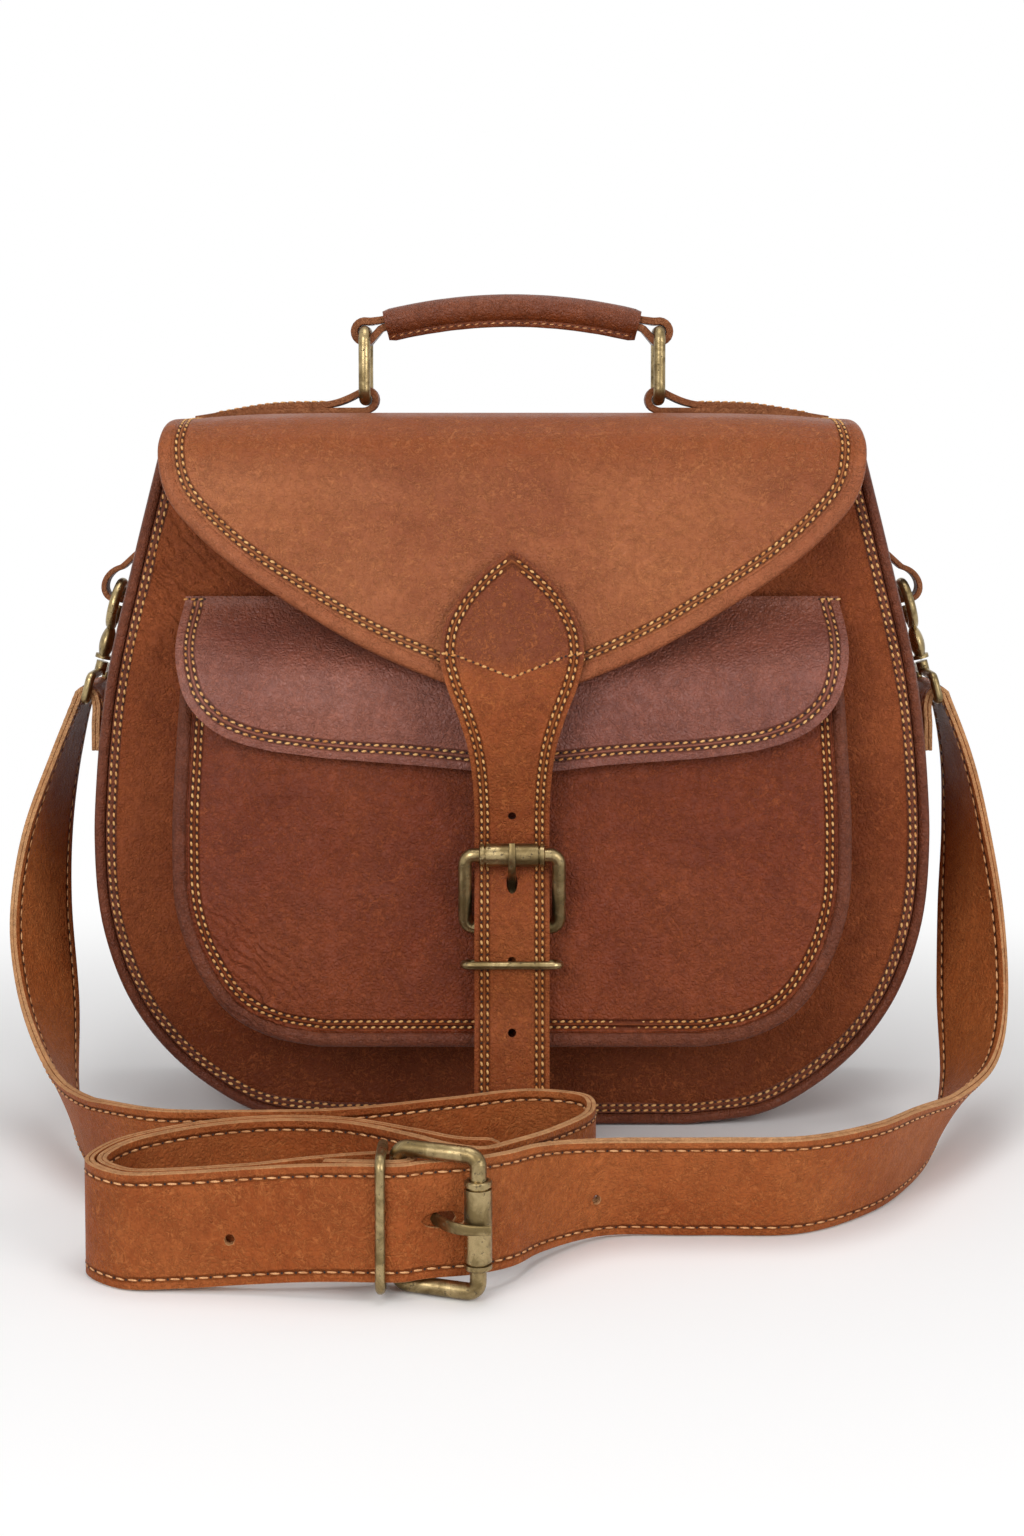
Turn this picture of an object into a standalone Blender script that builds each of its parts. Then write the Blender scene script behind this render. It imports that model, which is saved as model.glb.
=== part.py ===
"""A saddle-shaped leather satchel with a flap, a front pocket, a handle and a buckled shoulder strap.

Metres, +Z up. The origin is the middle of the bag's underside, on the surface that it stands on, and the
front of the bag looks along -Y.
"""

import math

import bmesh
import bpy
from mathutils import Matrix, Vector

WIRE_SIDES = 8
SHARP_DEG = 50.0

# Main compartment
BAG_HALF_WIDTH = 0.1664
BAG_HEIGHT = 0.267
BAG_DEPTH = 0.090
LEATHER = 0.0024
FIT = 0.0003
RIM_WIDTH = 0.0080
RIM_DEPTH = 0.0060
RIM_ROUNDING = 0.0016
RIM_PROUD = 0.0014
GUSSET_INSET = 0.0026
MOUTH_DROP = 0.0050
OUTLINE_SHARES = (
    (0.0, 0.0),
    (0.43, 0.0),
    (0.62, 0.020),
    (0.733, 0.060),
    (0.84, 0.119),
    (0.915, 0.185),
    (0.978, 0.290),
    (1.0, 0.431),
    (0.994, 0.520),
    (0.971, 0.655),
    (0.901, 0.849),
    (0.84, 1.0),
)
OUTLINE_STEPS = 2

# Front pocket, laid out on its own leaning face
POCKET_HALF_WIDTH = 0.1315
POCKET_BOTTOM = 0.0415
POCKET_TALL = 0.150
POCKET_FOOT_DEPTH = 0.038
POCKET_MOUTH_DEPTH = 0.017
POCKET_RIM_WIDTH = 0.0060
POCKET_RIM_DEPTH = 0.0046
POCKET_RIM_PROUD = 0.0014
POCKET_OUTLINE_SHARES = (
    (0.0, 0.0),
    (0.56, 0.0),
    (0.70, 0.024),
    (0.82, 0.078),
    (0.92, 0.190),
    (0.985, 0.340),
    (1.0, 0.520),
    (0.993, 0.740),
    (0.975, 1.0),
)

# Pocket flap
POCKET_FLAP_HALF_WIDTH = 0.1305
POCKET_FLAP_THICK = 0.0026
POCKET_FLAP_SEAM_HEIGHT = 0.2125
POCKET_FLAP_DROP = 0.063
POCKET_FLAP_STAND_OFF = 0.0275
POCKET_FLAP_PROFILE_SHARES = (
    (0.0, 0.0),
    (0.03, 0.06),
    (0.20, 0.16),
    (0.52, 0.28),
    (0.82, 0.42),
    (0.95, 0.62),
    (1.0, 1.0),
)
POCKET_FLAP_SIDE_SHARES = (
    (0.0, 0.985),
    (0.20, 1.0),
    (0.50, 0.99),
    (0.68, 0.955),
    (0.81, 0.885),
    (0.90, 0.775),
    (0.95, 0.62),
    (1.0, 0.26),
)

# Main flap
FLAP_HALF_WIDTH = 0.1378
FLAP_THICK = 0.0030
FLAP_TIP_HEIGHT = 0.1735
FLAP_TOP_HEIGHT = 0.2850
FLAP_LEAN = 0.0345
FLAP_EDGE_DROOP = 0.0040
BINDING_WIDTH = 0.0060
BINDING_THICK = 0.0052
BINDING_ROUNDING = 0.0014
FLAP_BACK_SHARES = ((0.0, 0.0), (0.02, 0.45), (0.10, 0.88), (0.28, 0.99), (0.5, 1.0))
FLAP_FRONT_SHARES = (
    (0.74, 0.995),
    (0.94, 0.955),
    (1.04, 0.86),
    (1.085, 0.74),
)
FLAP_LEAN_SHARES = ((0.30, 0.35), (0.62, 0.68), (1.0, 1.0))
FLAP_EDGE_SHARES = (
    (0.0, 0.994),
    (0.10, 1.0),
    (0.25, 0.975),
    (0.40, 0.885),
    (0.527, 0.770),
    (0.667, 0.600),
    (0.790, 0.430),
    (0.905, 0.220),
    (0.975, 0.065),
)
FLAP_STEPS = 2
FLAP_COLUMNS = 8

# Closure strap, its patch and the chape that holds its buckle
STRAP_THICK = 0.0030
CLOSURE_WIDTH = 0.0284
PATCH_TIP_HEIGHT = 0.2330
PATCH_WIDTH = 0.0545
CLOSURE_END_HEIGHT = 0.0130
PATCH_SHARES = (
    (0.0, -1.04),
    (0.093, -0.13),
    (0.193, 0.535),
    (0.312, 0.945),
    (0.404, 1.0),
    (0.50, 0.835),
    (0.62, 0.475),
    (0.742, 0.19),
    (0.862, 0.06),
    (1.0, 0.0),
)
NECK_HEIGHT = 0.1330
CLOSURE_HOLE = 0.0032
HOLE_PITCH = 0.0282
HOLES_BELOW = 2
UPPER_HOLE_SHARE = 0.57
CHAPE_JOINED_SHARE = 0.85
PRONG_SLOT_LONG = 0.0085
PRONG_SLOT_WIDE = 0.0042
CHAPE_WIDTH = 0.0274
CHAPE_THICK = 0.0017
CHAPE_FOOT = 0.0075
CHAPE_JOINED = 0.0240

# Closure buckle, in the pocket's leaning face: "up" runs along the face and "out" stands off it
BUCKLE_WIRE = 0.0053
BUCKLE_WIDE = 0.0412
BUCKLE_BARS_APART = 0.0278
BUCKLE_BAR_UP = 0.0462
BUCKLE_CORNER = 0.0036
ROLLER_RADIUS = 0.0044
ROLLER_LONG = 0.0250
ROLLER_OUT = 0.0142
PRONG_HOLE_SHARE = 0.80
PRONG_SHARES = (
    (0.14, -0.06),
    (0.28, -0.13),
    (0.42, -0.15),
    (0.53, -0.10),
    (0.64, 0.12),
    (0.74, 0.48),
    (0.86, 0.84),
    (1.0, 1.0),
    (1.16, 0.95),
)
PRONG_WIDE = 0.0033
PRONG_THICK = 0.0013
KEEPER_WIRE = 0.0030
KEEPER_WIDE = 0.0395
KEEPER_UP = 0.0323
KEEPER_OUT = 0.0038
RUNNING_FIT = 0.0003

# Handle on the flap top
RING_WIRE = 0.0048
RING_HIGH = 0.0325
RING_WIDE = 0.0260
RING_CORNER = 0.0045
HANDLE_HALF_SPAN = 0.0600
LOOP_WALL = 0.0022
LOOP_PLAY = 0.0005
LOOP_DEEP = 0.0118
HANDLE_RISE = 0.0085
SLEEVE_RADIUS = 0.0055
SLEEVE_WALL = 0.0012
SLEEVE_HALF_LONG = 0.0520
SLEEVE_FLANGE = 0.0024
SLEEVE_FLANGE_WIDE = 0.0030
HANDLE_TAB_LONG = 0.0700
HANDLE_TAB_WIDE = 0.0220
TAB_TIP_WIDE = 0.0040
TAB_RISE_SHARES = ((0.07, 0.90), (0.16, 0.25))
HANDLE_END_UP = 0.0015
SLEEVE_INSIDE = 0.0030
CORE_WIDE = 0.0052
CORE_LAP_SHARE = 0.60
SLEEVE_STEPS = 12
SLEEVE_SIDES = 14
ROLLER_SIDES = 16

# Side loops and snap hooks
SIDE_LOOP_HEIGHT = 0.2150
SIDE_LOOP_STAND_OFF = 0.0105
SIDE_LOOP_BORE = 0.0057
SIDE_LOOP_WALL = 0.0022
SIDE_TAB_LONG = 0.0200
SIDE_TAB_WIDE = 0.0098
HOOK_LEAN_DEG = 14.9
HOOK_WIRE = 0.0042
HOOK_BOW = 0.0090
HOOK_BODY_LONG = 0.0150
HOOK_BODY_WIDE = 0.0120
HOOK_BODY_THICK = 0.0060
EYE_DROP = 0.0390
EYE_WIRE = 0.0036
EYE_HIGH = 0.0100
EYE_INSIDE = 0.0392
EYE_CORNER = 0.0022
EYE_POST = 0.0024
GATE_FROM_DEG = 100.0
GATE_TO_DEG = 162.2
GATE_GAP_DEG = 11.0
GATE_WIRE_SHARE = 0.40
CLAW_END_DEG = 174.0

# Shoulder strap and its buckle
SHOULDER_WIDTH = 0.0380
SHOULDER_THICK = 0.0034
SHOULDER_HOLE = 0.0034
SHOULDER_HOLE_SHARES = (-0.544, 0.172)
SHOULDER_HOLE_HEIGHT_SHARE = 0.40
STRAP_PLAY = 0.0005
STRAP_REACH = 0.2300
STRAP_STEPS = 3
FRAME_WIRE = 0.0055
FRAME_TALL = 0.0500
FRAME_BARS_APART = 0.0262
FRAME_CORNER = 0.0036
FRAME_BAR_SIDE = 0.0370
FRAME_LEAN = 0.0100
STRAP_ROLLER_RADIUS = 0.0045
STRAP_ROLLER_LONG = 0.0290
STRAP_KEEPER_WIRE = 0.0034
STRAP_KEEPER_TALL = 0.0460
STRAP_PRONG_WIDE = 0.0040
STRAP_SLOT_LONG = 0.0085
STRAP_LAP = 0.0210
FRONT_RUN_SHARE = 0.975
FOLD_LAP = 0.0280
LAP_END_SHARE = 0.85
INNER_RUN_SHARE = 0.45
FOLD_STRAIGHT_SHARE = 0.70
OUTER_RUN_SHARES = ((0.22, 0.02, 1.0), (0.55, 0.22, 0.97), (1.0, 0.62, 0.85))

# The strap's hanging ends: shares of the bag's half width, of the strap's reach in front, and of the
# height of the hook's eye, then the direction across the strap towards its front, later upper, edge.
LEFT_DROP_SHARES = (
    (1.106, 0.013, 0.968, 0.10, 0.99, 0.0),
    (1.148, 0.048, 0.741, 0.30, 0.95, 0.05),
    (1.154, 0.091, 0.537, 0.42, 0.90, 0.12),
    (1.124, 0.157, 0.294, 0.46, 0.79, 0.40),
    (1.064, 0.287, 0.093, 0.20, 0.75, 0.62),
    (0.920, 0.522, 0.0, 0.0, 0.45, 0.89),
    (0.733, 0.661, 0.0, 0.0, 0.10, 0.995),
)
RIGHT_DROP_SHARES = (
    (1.103, 0.009, 0.968, 0.10, 0.99, 0.0),
    (1.127, 0.035, 0.740, 0.30, 0.95, 0.0),
    (1.130, 0.074, 0.525, 0.50, 0.86, 0.0),
    (1.118, 0.139, 0.311, 0.55, 0.82, 0.10),
    (1.082, 0.252, 0.117, 0.38, 0.82, 0.42),
    (0.992, 0.400, 0.017, 0.15, 0.70, 0.70),
    (0.889, 0.543, 0.0, 0.0, 0.52, 0.85),
    (0.757, 0.687, 0.0, 0.0, 0.38, 0.925),
)
# The strap on the floor: shares of the half width and of the reach, then of the buckle's lift, then the lean.
RIGHT_FLOOR_SHARES = (
    (0.601, 0.770, 0.0, 0.30),
    (0.391, 0.778, 0.0, 0.30),
    (0.186, 0.793, 0.15, 0.30),
    (0.052, 0.880, 0.55, 0.12),
    (-0.012, 0.957, 0.9, 0.0),
)
LEFT_FLOOR_SHARES = (
    (-0.600, 0.6720, 0.0),
    (-0.360, 0.6600, 0.0),
    (-0.132, 0.6000, 0.0),
    (0.060, 0.5545, 0.0),
    (0.156, 0.5830, 0.0),
    (0.168, 0.6570, 0.0),
    (0.098, 0.7610, 0.1),
    (0.006, 0.8480, 0.3),
    (-0.056, 0.8830, 0.3),
    (-0.120, 0.8600, 0.2),
    (-0.200, 0.8050, 0.1),
)
LOOP_SHARES = (
    (-0.520, 0.9960, 0.5),
    (-0.640, 0.9890, 0.2),
    (-0.763, 0.9750, 0.0),
    (-0.838, 0.9150, 0.0),
    (-0.815, 0.8350, 0.0),
    (-0.685, 0.7450, 0.0),
    (-0.500, 0.7000, 0.0),
    (-0.360, 0.7080, 0.0),
)
TAIL_SHARES = ((-0.200, 0.7680, 0.0), (-0.095, 0.8120, 0.0), (-0.005, 0.8120, 0.0))

# Colours as linear values
BROWN = (0.155, 0.042, 0.020)
DARK_BROWN = (0.085, 0.026, 0.018)
FLAP_TAN = (0.240, 0.072, 0.026)
STRAP_TAN = (0.300, 0.100, 0.034)
BRASS = (0.270, 0.205, 0.095)


def curve_through(points, steps):
    """A smooth curve that passes through every point, with the same number of steps between two."""
    spans = [math.dist(a[:3], b[:3]) for a, b in zip(points, points[1:])]
    chords = [[(q - p) / span for p, q in zip(a, b)] for a, b, span in zip(points, points[1:], spans)]
    slopes = [chords[0]]
    for before, after, span_before, span_after in zip(chords, chords[1:], spans, spans[1:]):
        share = span_before / (span_before + span_after)
        slopes.append([p + (q - p) * share for p, q in zip(before, after)])
    slopes.append(chords[-1])
    found = []
    for i, span in enumerate(spans):
        for step in range(steps):
            t = step / steps
            parts = zip(points[i], points[i + 1], slopes[i], slopes[i + 1])
            found.append(tuple(between(p, q, m, n, span, t) for p, q, m, n in parts))
    found.append(tuple(points[-1]))
    return found


def between(start, end, slope_start, slope_end, span, t):
    """One coordinate of a smooth step from start to end, a share t of the way."""
    move = end - start
    bend = (1 - t) * (slope_start * span - move) - t * (slope_end * span - move)
    return start + move * t + t * (1 - t) * bend


def normals_of(path):
    """The left-hand normal at each point of a flat path."""
    found = []
    for i in range(len(path)):
        before = Vector(path[max(i - 1, 0)])
        here = Vector(path[i])
        after = Vector(path[min(i + 1, len(path) - 1)])
        ways = [(b - a).normalized() for a, b in ((before, here), (here, after)) if (b - a).length > 0]
        along = sum(ways, Vector((0, 0))).normalized()
        stretch = 1 / max(along.dot(ways[0]), 0.5)
        found.append(Vector((-along.y, along.x)) * stretch)
    return found


def offset(path, distance):
    """A flat path moved to its left by a distance."""
    return [tuple(Vector(p) + n * distance) for p, n in zip(path, normals_of(path))]


def mirrored(half):
    """A left-to-right outline from its right half, which starts on the middle line."""
    return [(-x, z) for x, z in reversed(half[1:])] + list(half)


def width_at(half, height):
    """Half the width of an outline at a height, between its points."""
    for (x0, z0), (x1, z1) in zip(half, half[1:]):
        if z0 <= height <= z1 and z1 > z0:
            return x0 + (x1 - x0) * (height - z0) / (z1 - z0)
    return half[-1][0]


def arc(centre, radius, start_deg, end_deg, steps):
    """Points round a flat arc."""
    turns = [math.radians(start_deg + (end_deg - start_deg) * i / steps) for i in range(steps + 1)]
    return [(centre[0] + radius * math.cos(t), centre[1] + radius * math.sin(t)) for t in turns]


def rounded_rectangle(wide, high, corner, steps=3):
    """A closed outline round the origin, without its repeated last point."""
    x = wide / 2 - corner
    z = high / 2 - corner
    quarters = ((x, z, 0), (-x, z, 90), (-x, -z, 180), (x, -z, 270))
    return [p for cx, cz, turn in quarters for p in arc((cx, cz), corner, turn, turn + 90, steps)]


def material(name, colour, roughness, metallic=0.0):
    made = bpy.data.materials.get(name)
    if made:
        return made
    made = bpy.data.materials.new(name)
    made.use_nodes = True
    shader = made.node_tree.nodes["Principled BSDF"]
    shader.inputs["Base Color"].default_value = (*colour, 1.0)
    shader.inputs["Roughness"].default_value = roughness
    shader.inputs["Metallic"].default_value = metallic
    return made


def brown(part):
    return material(part + "_leather", BROWN, 0.45)


def dark(part):
    return material(part + "_leather", DARK_BROWN, 0.35)


def tan(part):
    return material(part + "_leather", FLAP_TAN, 0.45)


def light(part):
    return material(part + "_leather", STRAP_TAN, 0.55)


def brass(part):
    return material(part + "_brass", BRASS, 0.35, 1.0)


def new_object(name, data, finish):
    made = bpy.data.objects.new(name, data)
    made.data.materials.append(finish(name))
    bpy.context.collection.objects.link(made)
    return made


def smooth(made):
    """Soft shading on a round piece, with its corners kept."""
    made.data.shade_smooth()
    made.data.set_sharp_from_angle(angle=math.radians(SHARP_DEG))
    return made


def mesh_object(name, bm, finish):
    mesh = bpy.data.meshes.new(name)
    bmesh.ops.recalc_face_normals(bm, faces=bm.faces)
    bm.to_mesh(mesh)
    bm.free()
    return new_object(name, mesh, finish)


def thicken(made, thickness, rounding=0.0):
    """Gives a sheet its thickness on both sides, and rounds its long edges."""
    solid = made.modifiers.new("thickness", "SOLIDIFY")
    solid.thickness = thickness
    solid.offset = 0
    solid.use_even_offset = True
    if rounding:
        round_off(made, rounding)
    return made


def round_off(made, rounding, segments=1):
    bevel = made.modifiers.new("rounding", "BEVEL")
    bevel.width = rounding
    bevel.segments = segments
    bevel.limit_method = "ANGLE"
    bevel.angle_limit = math.radians(50)
    return made


def grid(name, rows, finish, thickness, rounding=0.0):
    """A sheet through rows of points, with its thickness."""
    bm = bmesh.new()
    made = [[bm.verts.new(p) for p in row] for row in rows]
    for low, high in zip(made, made[1:]):
        for a, b, c, d in zip(low, low[1:], high[1:], high):
            bm.faces.new((a, b, c, d))
    return thicken(mesh_object(name, bm, finish), thickness, rounding)


def extruded(name, outline, place, depth_from, depth_to, finish):
    """A solid from a flat outline: place turns a flat point and a depth into a point in space."""
    bm = bmesh.new()
    face = bm.faces.new([bm.verts.new(place(a, b, depth_from)) for a, b in outline])
    grown = bmesh.ops.extrude_face_region(bm, geom=[face])["geom"]
    step = Vector(place(0, 0, depth_to)) - Vector(place(0, 0, depth_from))
    bmesh.ops.translate(bm, vec=step, verts=[v for v in grown if isinstance(v, bmesh.types.BMVert)])
    return mesh_object(name, bm, finish)


def strip(name, path, thickness, place, depth_from, depth_to, finish):
    """A strip of leather or metal seen edge on: its thickness is laid about a flat path."""
    outline = offset(path, thickness / 2) + offset(path, -thickness / 2)[::-1]
    return extruded(name, outline, place, depth_from, depth_to, finish)


def frames_along(points, closed):
    """Two directions square to a path at each of its points, carried along without twist."""
    path = [Vector(p) for p in points]
    count = len(path)
    ways = []
    for i, here in enumerate(path):
        before = path[i - 1] if i or closed else here
        after = path[(i + 1) % count] if i < count - 1 or closed else here
        ways.append((after - before).normalized())
    side = ways[0].orthogonal().normalized()
    found = []
    for way in ways:
        side = (side - way * side.dot(way)).normalized()
        found.append((side, way.cross(side)))
    return found


def ring_points(centre, frame, radius, sides):
    turns = [math.tau * i / sides for i in range(sides)]
    return [Vector(centre) + radius * (frame[0] * math.cos(t) + frame[1] * math.sin(t)) for t in turns]


def tube(name, points, radius, finish, closed=False, sides=WIRE_SIDES):
    """A round wire along points, closed on itself or with flat ends."""
    bm = bmesh.new()
    frames = frames_along(points, closed)
    rings = [[bm.verts.new(v) for v in ring_points(p, f, radius, sides)] for p, f in zip(points, frames)]
    pairs = list(zip(rings, rings[1:]))
    if closed:
        pairs.append((rings[-1], rings[0]))
    else:
        bm.faces.new(rings[0])
        bm.faces.new(rings[-1])
    for low, high in pairs:
        join_rings(bm, low, high)
    return smooth(mesh_object(name, bm, finish))


def join_rings(bm, low, high):
    count = len(low)
    for i in range(count):
        bm.faces.new((low[i], low[(i + 1) % count], high[(i + 1) % count], high[i]))


def hollow_tube(name, points, outer, inner, finish, sides=WIRE_SIDES):
    """A tube with a bore, along points."""
    bm = bmesh.new()
    frames = frames_along(points, False)
    skins = []
    for radius in (outer, inner):
        rings = [[bm.verts.new(v) for v in ring_points(p, f, radius, sides)] for p, f in zip(points, frames)]
        for low, high in zip(rings, rings[1:]):
            join_rings(bm, low, high)
        skins.append(rings)
    for end in (0, -1):
        join_rings(bm, skins[0][end], skins[1][end])
    return smooth(mesh_object(name, bm, finish))


def cut(made, cutter, operation="DIFFERENCE"):
    """Takes a cutter out of a solid, or joins it, and keeps the cutter out of sight."""
    cutter.hide_render = True
    cutter.display_type = "WIRE"
    boolean = made.modifiers.new("cut", "BOOLEAN")
    boolean.operation = operation
    boolean.object = cutter
    boolean.solver = "EXACT"
    return made


def body_outline():
    """The right half of the bag's front outline, from the middle of the bottom to the top corner."""
    half = [(x * BAG_HALF_WIDTH, z * BAG_HEIGHT) for x, z in OUTLINE_SHARES]
    return half[:1] + curve_through(half[1:], OUTLINE_STEPS)


def cropped(half, top):
    """The part of a half outline below a height."""
    kept = [p for p in half if p[1] < top]
    return kept + [(width_at(half, top), top)]


def panel(name, half, top, y):
    """A flat panel of the main compartment inside the rim."""
    inside = [(max(x, 0.0), z) for x, z in offset(half, RIM_WIDTH + FIT)]
    inside[0] = (0.0, inside[0][1])
    outline = mirrored(cropped(inside, top))
    return extruded(name, outline, lambda x, z, d: (x, y + d, z), -LEATHER / 2, LEATHER / 2, brown)


def rim(name, half, y):
    """The rounded edge that binds a panel to the gusset."""
    outer = mirrored(half)
    inner = mirrored([(0.0, RIM_WIDTH)] + offset(half, RIM_WIDTH)[1:])
    rows = [[(x, y, z) for x, z in line] for line in (outer, inner)]
    return grid(name, rows, dark, RIM_DEPTH, RIM_ROUNDING)


def gusset(half):
    """The strip that makes both sides and the bottom; its underside is the face that the bag rests on."""
    shrink = (BAG_HALF_WIDTH - GUSSET_INSET - LEATHER / 2) / BAG_HALF_WIDTH
    rise = LEATHER / 2
    middle = [(x * shrink, rise + z * (BAG_HEIGHT - rise) / BAG_HEIGHT) for x, z in half]
    line = mirrored(cropped(middle, BAG_HEIGHT - MOUTH_DROP))
    y = BAG_DEPTH / 2 - RIM_DEPTH - FIT
    rows = [[(x, side, z) for x, z in line] for side in (-y, y)]
    return grid("gusset", rows, brown, LEATHER)


def main_compartment():
    half = body_outline()
    under_hinge = BAG_HEIGHT - BINDING_THICK / 2 - FIT
    panel_y = BAG_DEPTH / 2 - RIM_PROUD - LEATHER / 2
    panel("front_panel", half, BAG_HEIGHT - MOUTH_DROP, -panel_y)
    panel("back_panel", half, under_hinge, panel_y)
    rim("front_rim", half, -(BAG_DEPTH - RIM_DEPTH) / 2)
    rim("back_rim", cropped(half, under_hinge), (BAG_DEPTH - RIM_DEPTH) / 2)
    gusset(half)


POCKET_LEAN = math.atan2(POCKET_FOOT_DEPTH - POCKET_MOUTH_DEPTH, POCKET_TALL)
FRONT_FACE = -BAG_DEPTH / 2 + RIM_PROUD


def on_pocket(x, up, out):
    """A point by its place on the pocket's leaning face."""
    y = FRONT_FACE - POCKET_FOOT_DEPTH + up * math.sin(POCKET_LEAN) - out * math.cos(POCKET_LEAN)
    z = POCKET_BOTTOM + up * math.cos(POCKET_LEAN) + out * math.sin(POCKET_LEAN)
    return (x, y, z)


def across_pocket(up, out, x):
    return on_pocket(x, up, out)


def pocket_outline():
    half = [(x * POCKET_HALF_WIDTH, z * POCKET_TALL) for x, z in POCKET_OUTLINE_SHARES]
    return half[:1] + curve_through(half[1:], OUTLINE_STEPS)


def pocket():
    half = pocket_outline()
    inside = offset(half, POCKET_RIM_WIDTH + FIT)
    inside[0] = (0.0, inside[0][1])
    front = mirrored(inside[:-1] + [(inside[-1][0], POCKET_TALL)])
    extruded("pocket_front", front, on_pocket, -LEATHER, 0, brown)
    middle = POCKET_RIM_PROUD - POCKET_RIM_DEPTH / 2
    rim_half = [(0.0, POCKET_RIM_WIDTH)] + offset(half, POCKET_RIM_WIDTH)[1:]
    rows = [[on_pocket(x, up, middle) for x, up in mirrored(line)] for line in (half, rim_half)]
    grid("pocket_rim", rows, dark, POCKET_RIM_DEPTH, RIM_ROUNDING)
    wall = offset(half, POCKET_RIM_WIDTH / 2)
    wall[0] = (0.0, wall[0][1])
    near = [on_pocket(x, up, middle - POCKET_RIM_DEPTH / 2 - FIT) for x, up in mirrored(wall)]
    far = [(x, FRONT_FACE - FIT, z) for x, y, z in near]
    grid("pocket_gusset", [near, far], brown, LEATHER)


def drooped(x, y, z):
    """A point of the main flap, lowered towards the flap's side edges but not at its hinge."""
    rise = FLAP_TOP_HEIGHT - FLAP_THICK / 2 - BAG_HEIGHT
    risen = min((z - BAG_HEIGHT) / rise, 1.0) if y > 0 else 1.0
    return (x, y, z - FLAP_EDGE_DROOP * risen * abs(x / FLAP_HALF_WIDTH) ** 6)


def sheet_on_profile(half, profile, columns):
    """Rows of points on a profile of (y, z), as wide as the half outline of (half width, length) says."""
    lengths = [0.0]
    for a, b in zip(profile, profile[1:]):
        lengths.append(lengths[-1] + math.dist(a, b))
    rows = []
    for (y, z), length in zip(profile, lengths):
        if length > half[-1][1]:
            break
        wide = width_at(half, length)
        shares = [2 * i / columns - 1 for i in range(columns + 1)]
        rows.append([(s * wide, y, z) for s in shares])
    return rows


def pocket_flap():
    """The small flap, sewn flat on the front panel along its top edge."""
    out = FRONT_FACE - FIT - POCKET_FLAP_THICK / 2
    profile = curve_through(
        [
            (out - a * POCKET_FLAP_STAND_OFF, POCKET_FLAP_SEAM_HEIGHT - b * POCKET_FLAP_DROP)
            for a, b in POCKET_FLAP_PROFILE_SHARES
        ],
        OUTLINE_STEPS,
    )
    whole = sum(math.dist(a, b) for a, b in zip(profile, profile[1:]))
    half = curve_through(
        [(wide * POCKET_FLAP_HALF_WIDTH, along * whole) for along, wide in POCKET_FLAP_SIDE_SHARES],
        OUTLINE_STEPS,
    )
    rows = sheet_on_profile(half, profile, FLAP_COLUMNS)
    pivot(grid("pocket_flap", rows, dark, POCKET_FLAP_THICK), (0, out, POCKET_FLAP_SEAM_HEIGHT))


def flap_profile():
    """The flap's middle layer from the hinge at the back, over the top and down the front, as (y, z)."""
    hinge_z = BAG_HEIGHT
    rise = FLAP_TOP_HEIGHT - FLAP_THICK / 2 - hinge_z
    back = BAG_DEPTH / 2 - RIM_PROUD
    top = [(back * (1 - 2 * a), hinge_z + b * rise) for a, b in FLAP_BACK_SHARES + FLAP_FRONT_SHARES]
    low_y, low_z = top[-1]
    front = [(low_y - b * FLAP_LEAN, low_z - a * (low_z - FLAP_TIP_HEIGHT)) for a, b in FLAP_LEAN_SHARES]
    return curve_through(top + front, FLAP_STEPS)


def flap_half_outline(profile):
    """The flap's half width by the length along its profile."""
    lengths = [0.0]
    for a, b in zip(profile, profile[1:]):
        lengths.append(lengths[-1] + math.dist(a, b))
    front = min(i for i, (y, z) in enumerate(profile) if y < -BAG_DEPTH / 2)
    drop = FLAP_TOP_HEIGHT - FLAP_TIP_HEIGHT
    top = [(FLAP_EDGE_SHARES[0][1] * FLAP_HALF_WIDTH, length) for length in lengths[:front]]
    falling = [(length, -z) for (y, z), length in zip(profile[front - 1:], lengths[front - 1:])]
    lower = [top[-1]]
    for along, wide in FLAP_EDGE_SHARES[1:]:
        length = width_at(falling, along * drop - FLAP_TOP_HEIGHT)
        if length > lower[-1][1]:
            lower.append((wide * FLAP_HALF_WIDTH, length))
    return top[:-1] + curve_through(lower, FLAP_STEPS)


def profile_point(profile, length, out=0.0):
    """The point a length along a profile, moved off it by a distance."""
    gone = 0.0
    sides = normals_of(profile)
    for i in range(len(profile) - 1):
        step = math.dist(profile[i], profile[i + 1])
        if gone + step >= length or i == len(profile) - 2:
            t = (length - gone) / step
            here = Vector(profile[i]).lerp(Vector(profile[i + 1]), t)
            return tuple(here + sides[i].lerp(sides[i + 1], t) * out)
        gone += step
    return profile[-1]


def main_flap():
    """The flap and the binding round its edge."""
    profile = flap_profile()
    half = flap_half_outline(profile)
    inner = offset(half, BINDING_WIDTH)
    shares = [2 * i / FLAP_COLUMNS - 1 for i in range(FLAP_COLUMNS + 1)]
    rows = []
    for wide, length in offset(half, BINDING_WIDTH + FIT):
        y, z = profile_point(profile, length)
        rows.append([drooped(share * wide, y, z) for share in shares])
    field = grid("main_flap", rows, tan, FLAP_THICK)
    lines = []
    for line in (half, inner):
        edge = []
        for wide, length in line:
            y, z = profile_point(profile, length)
            edge.append(drooped(wide, y, z))
        lines.append(edge + [(-x, y, z) for x, y, z in reversed(edge)])
    return [field, grid("flap_binding", lines, tan, BINDING_THICK, BINDING_ROUNDING)]


def pivot(made, point):
    """Puts a piece's origin on its joint's axis, with the piece left where it is."""
    made.data.transform(Matrix.Translation(-Vector(point)))
    made.location = point
    return made


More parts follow.
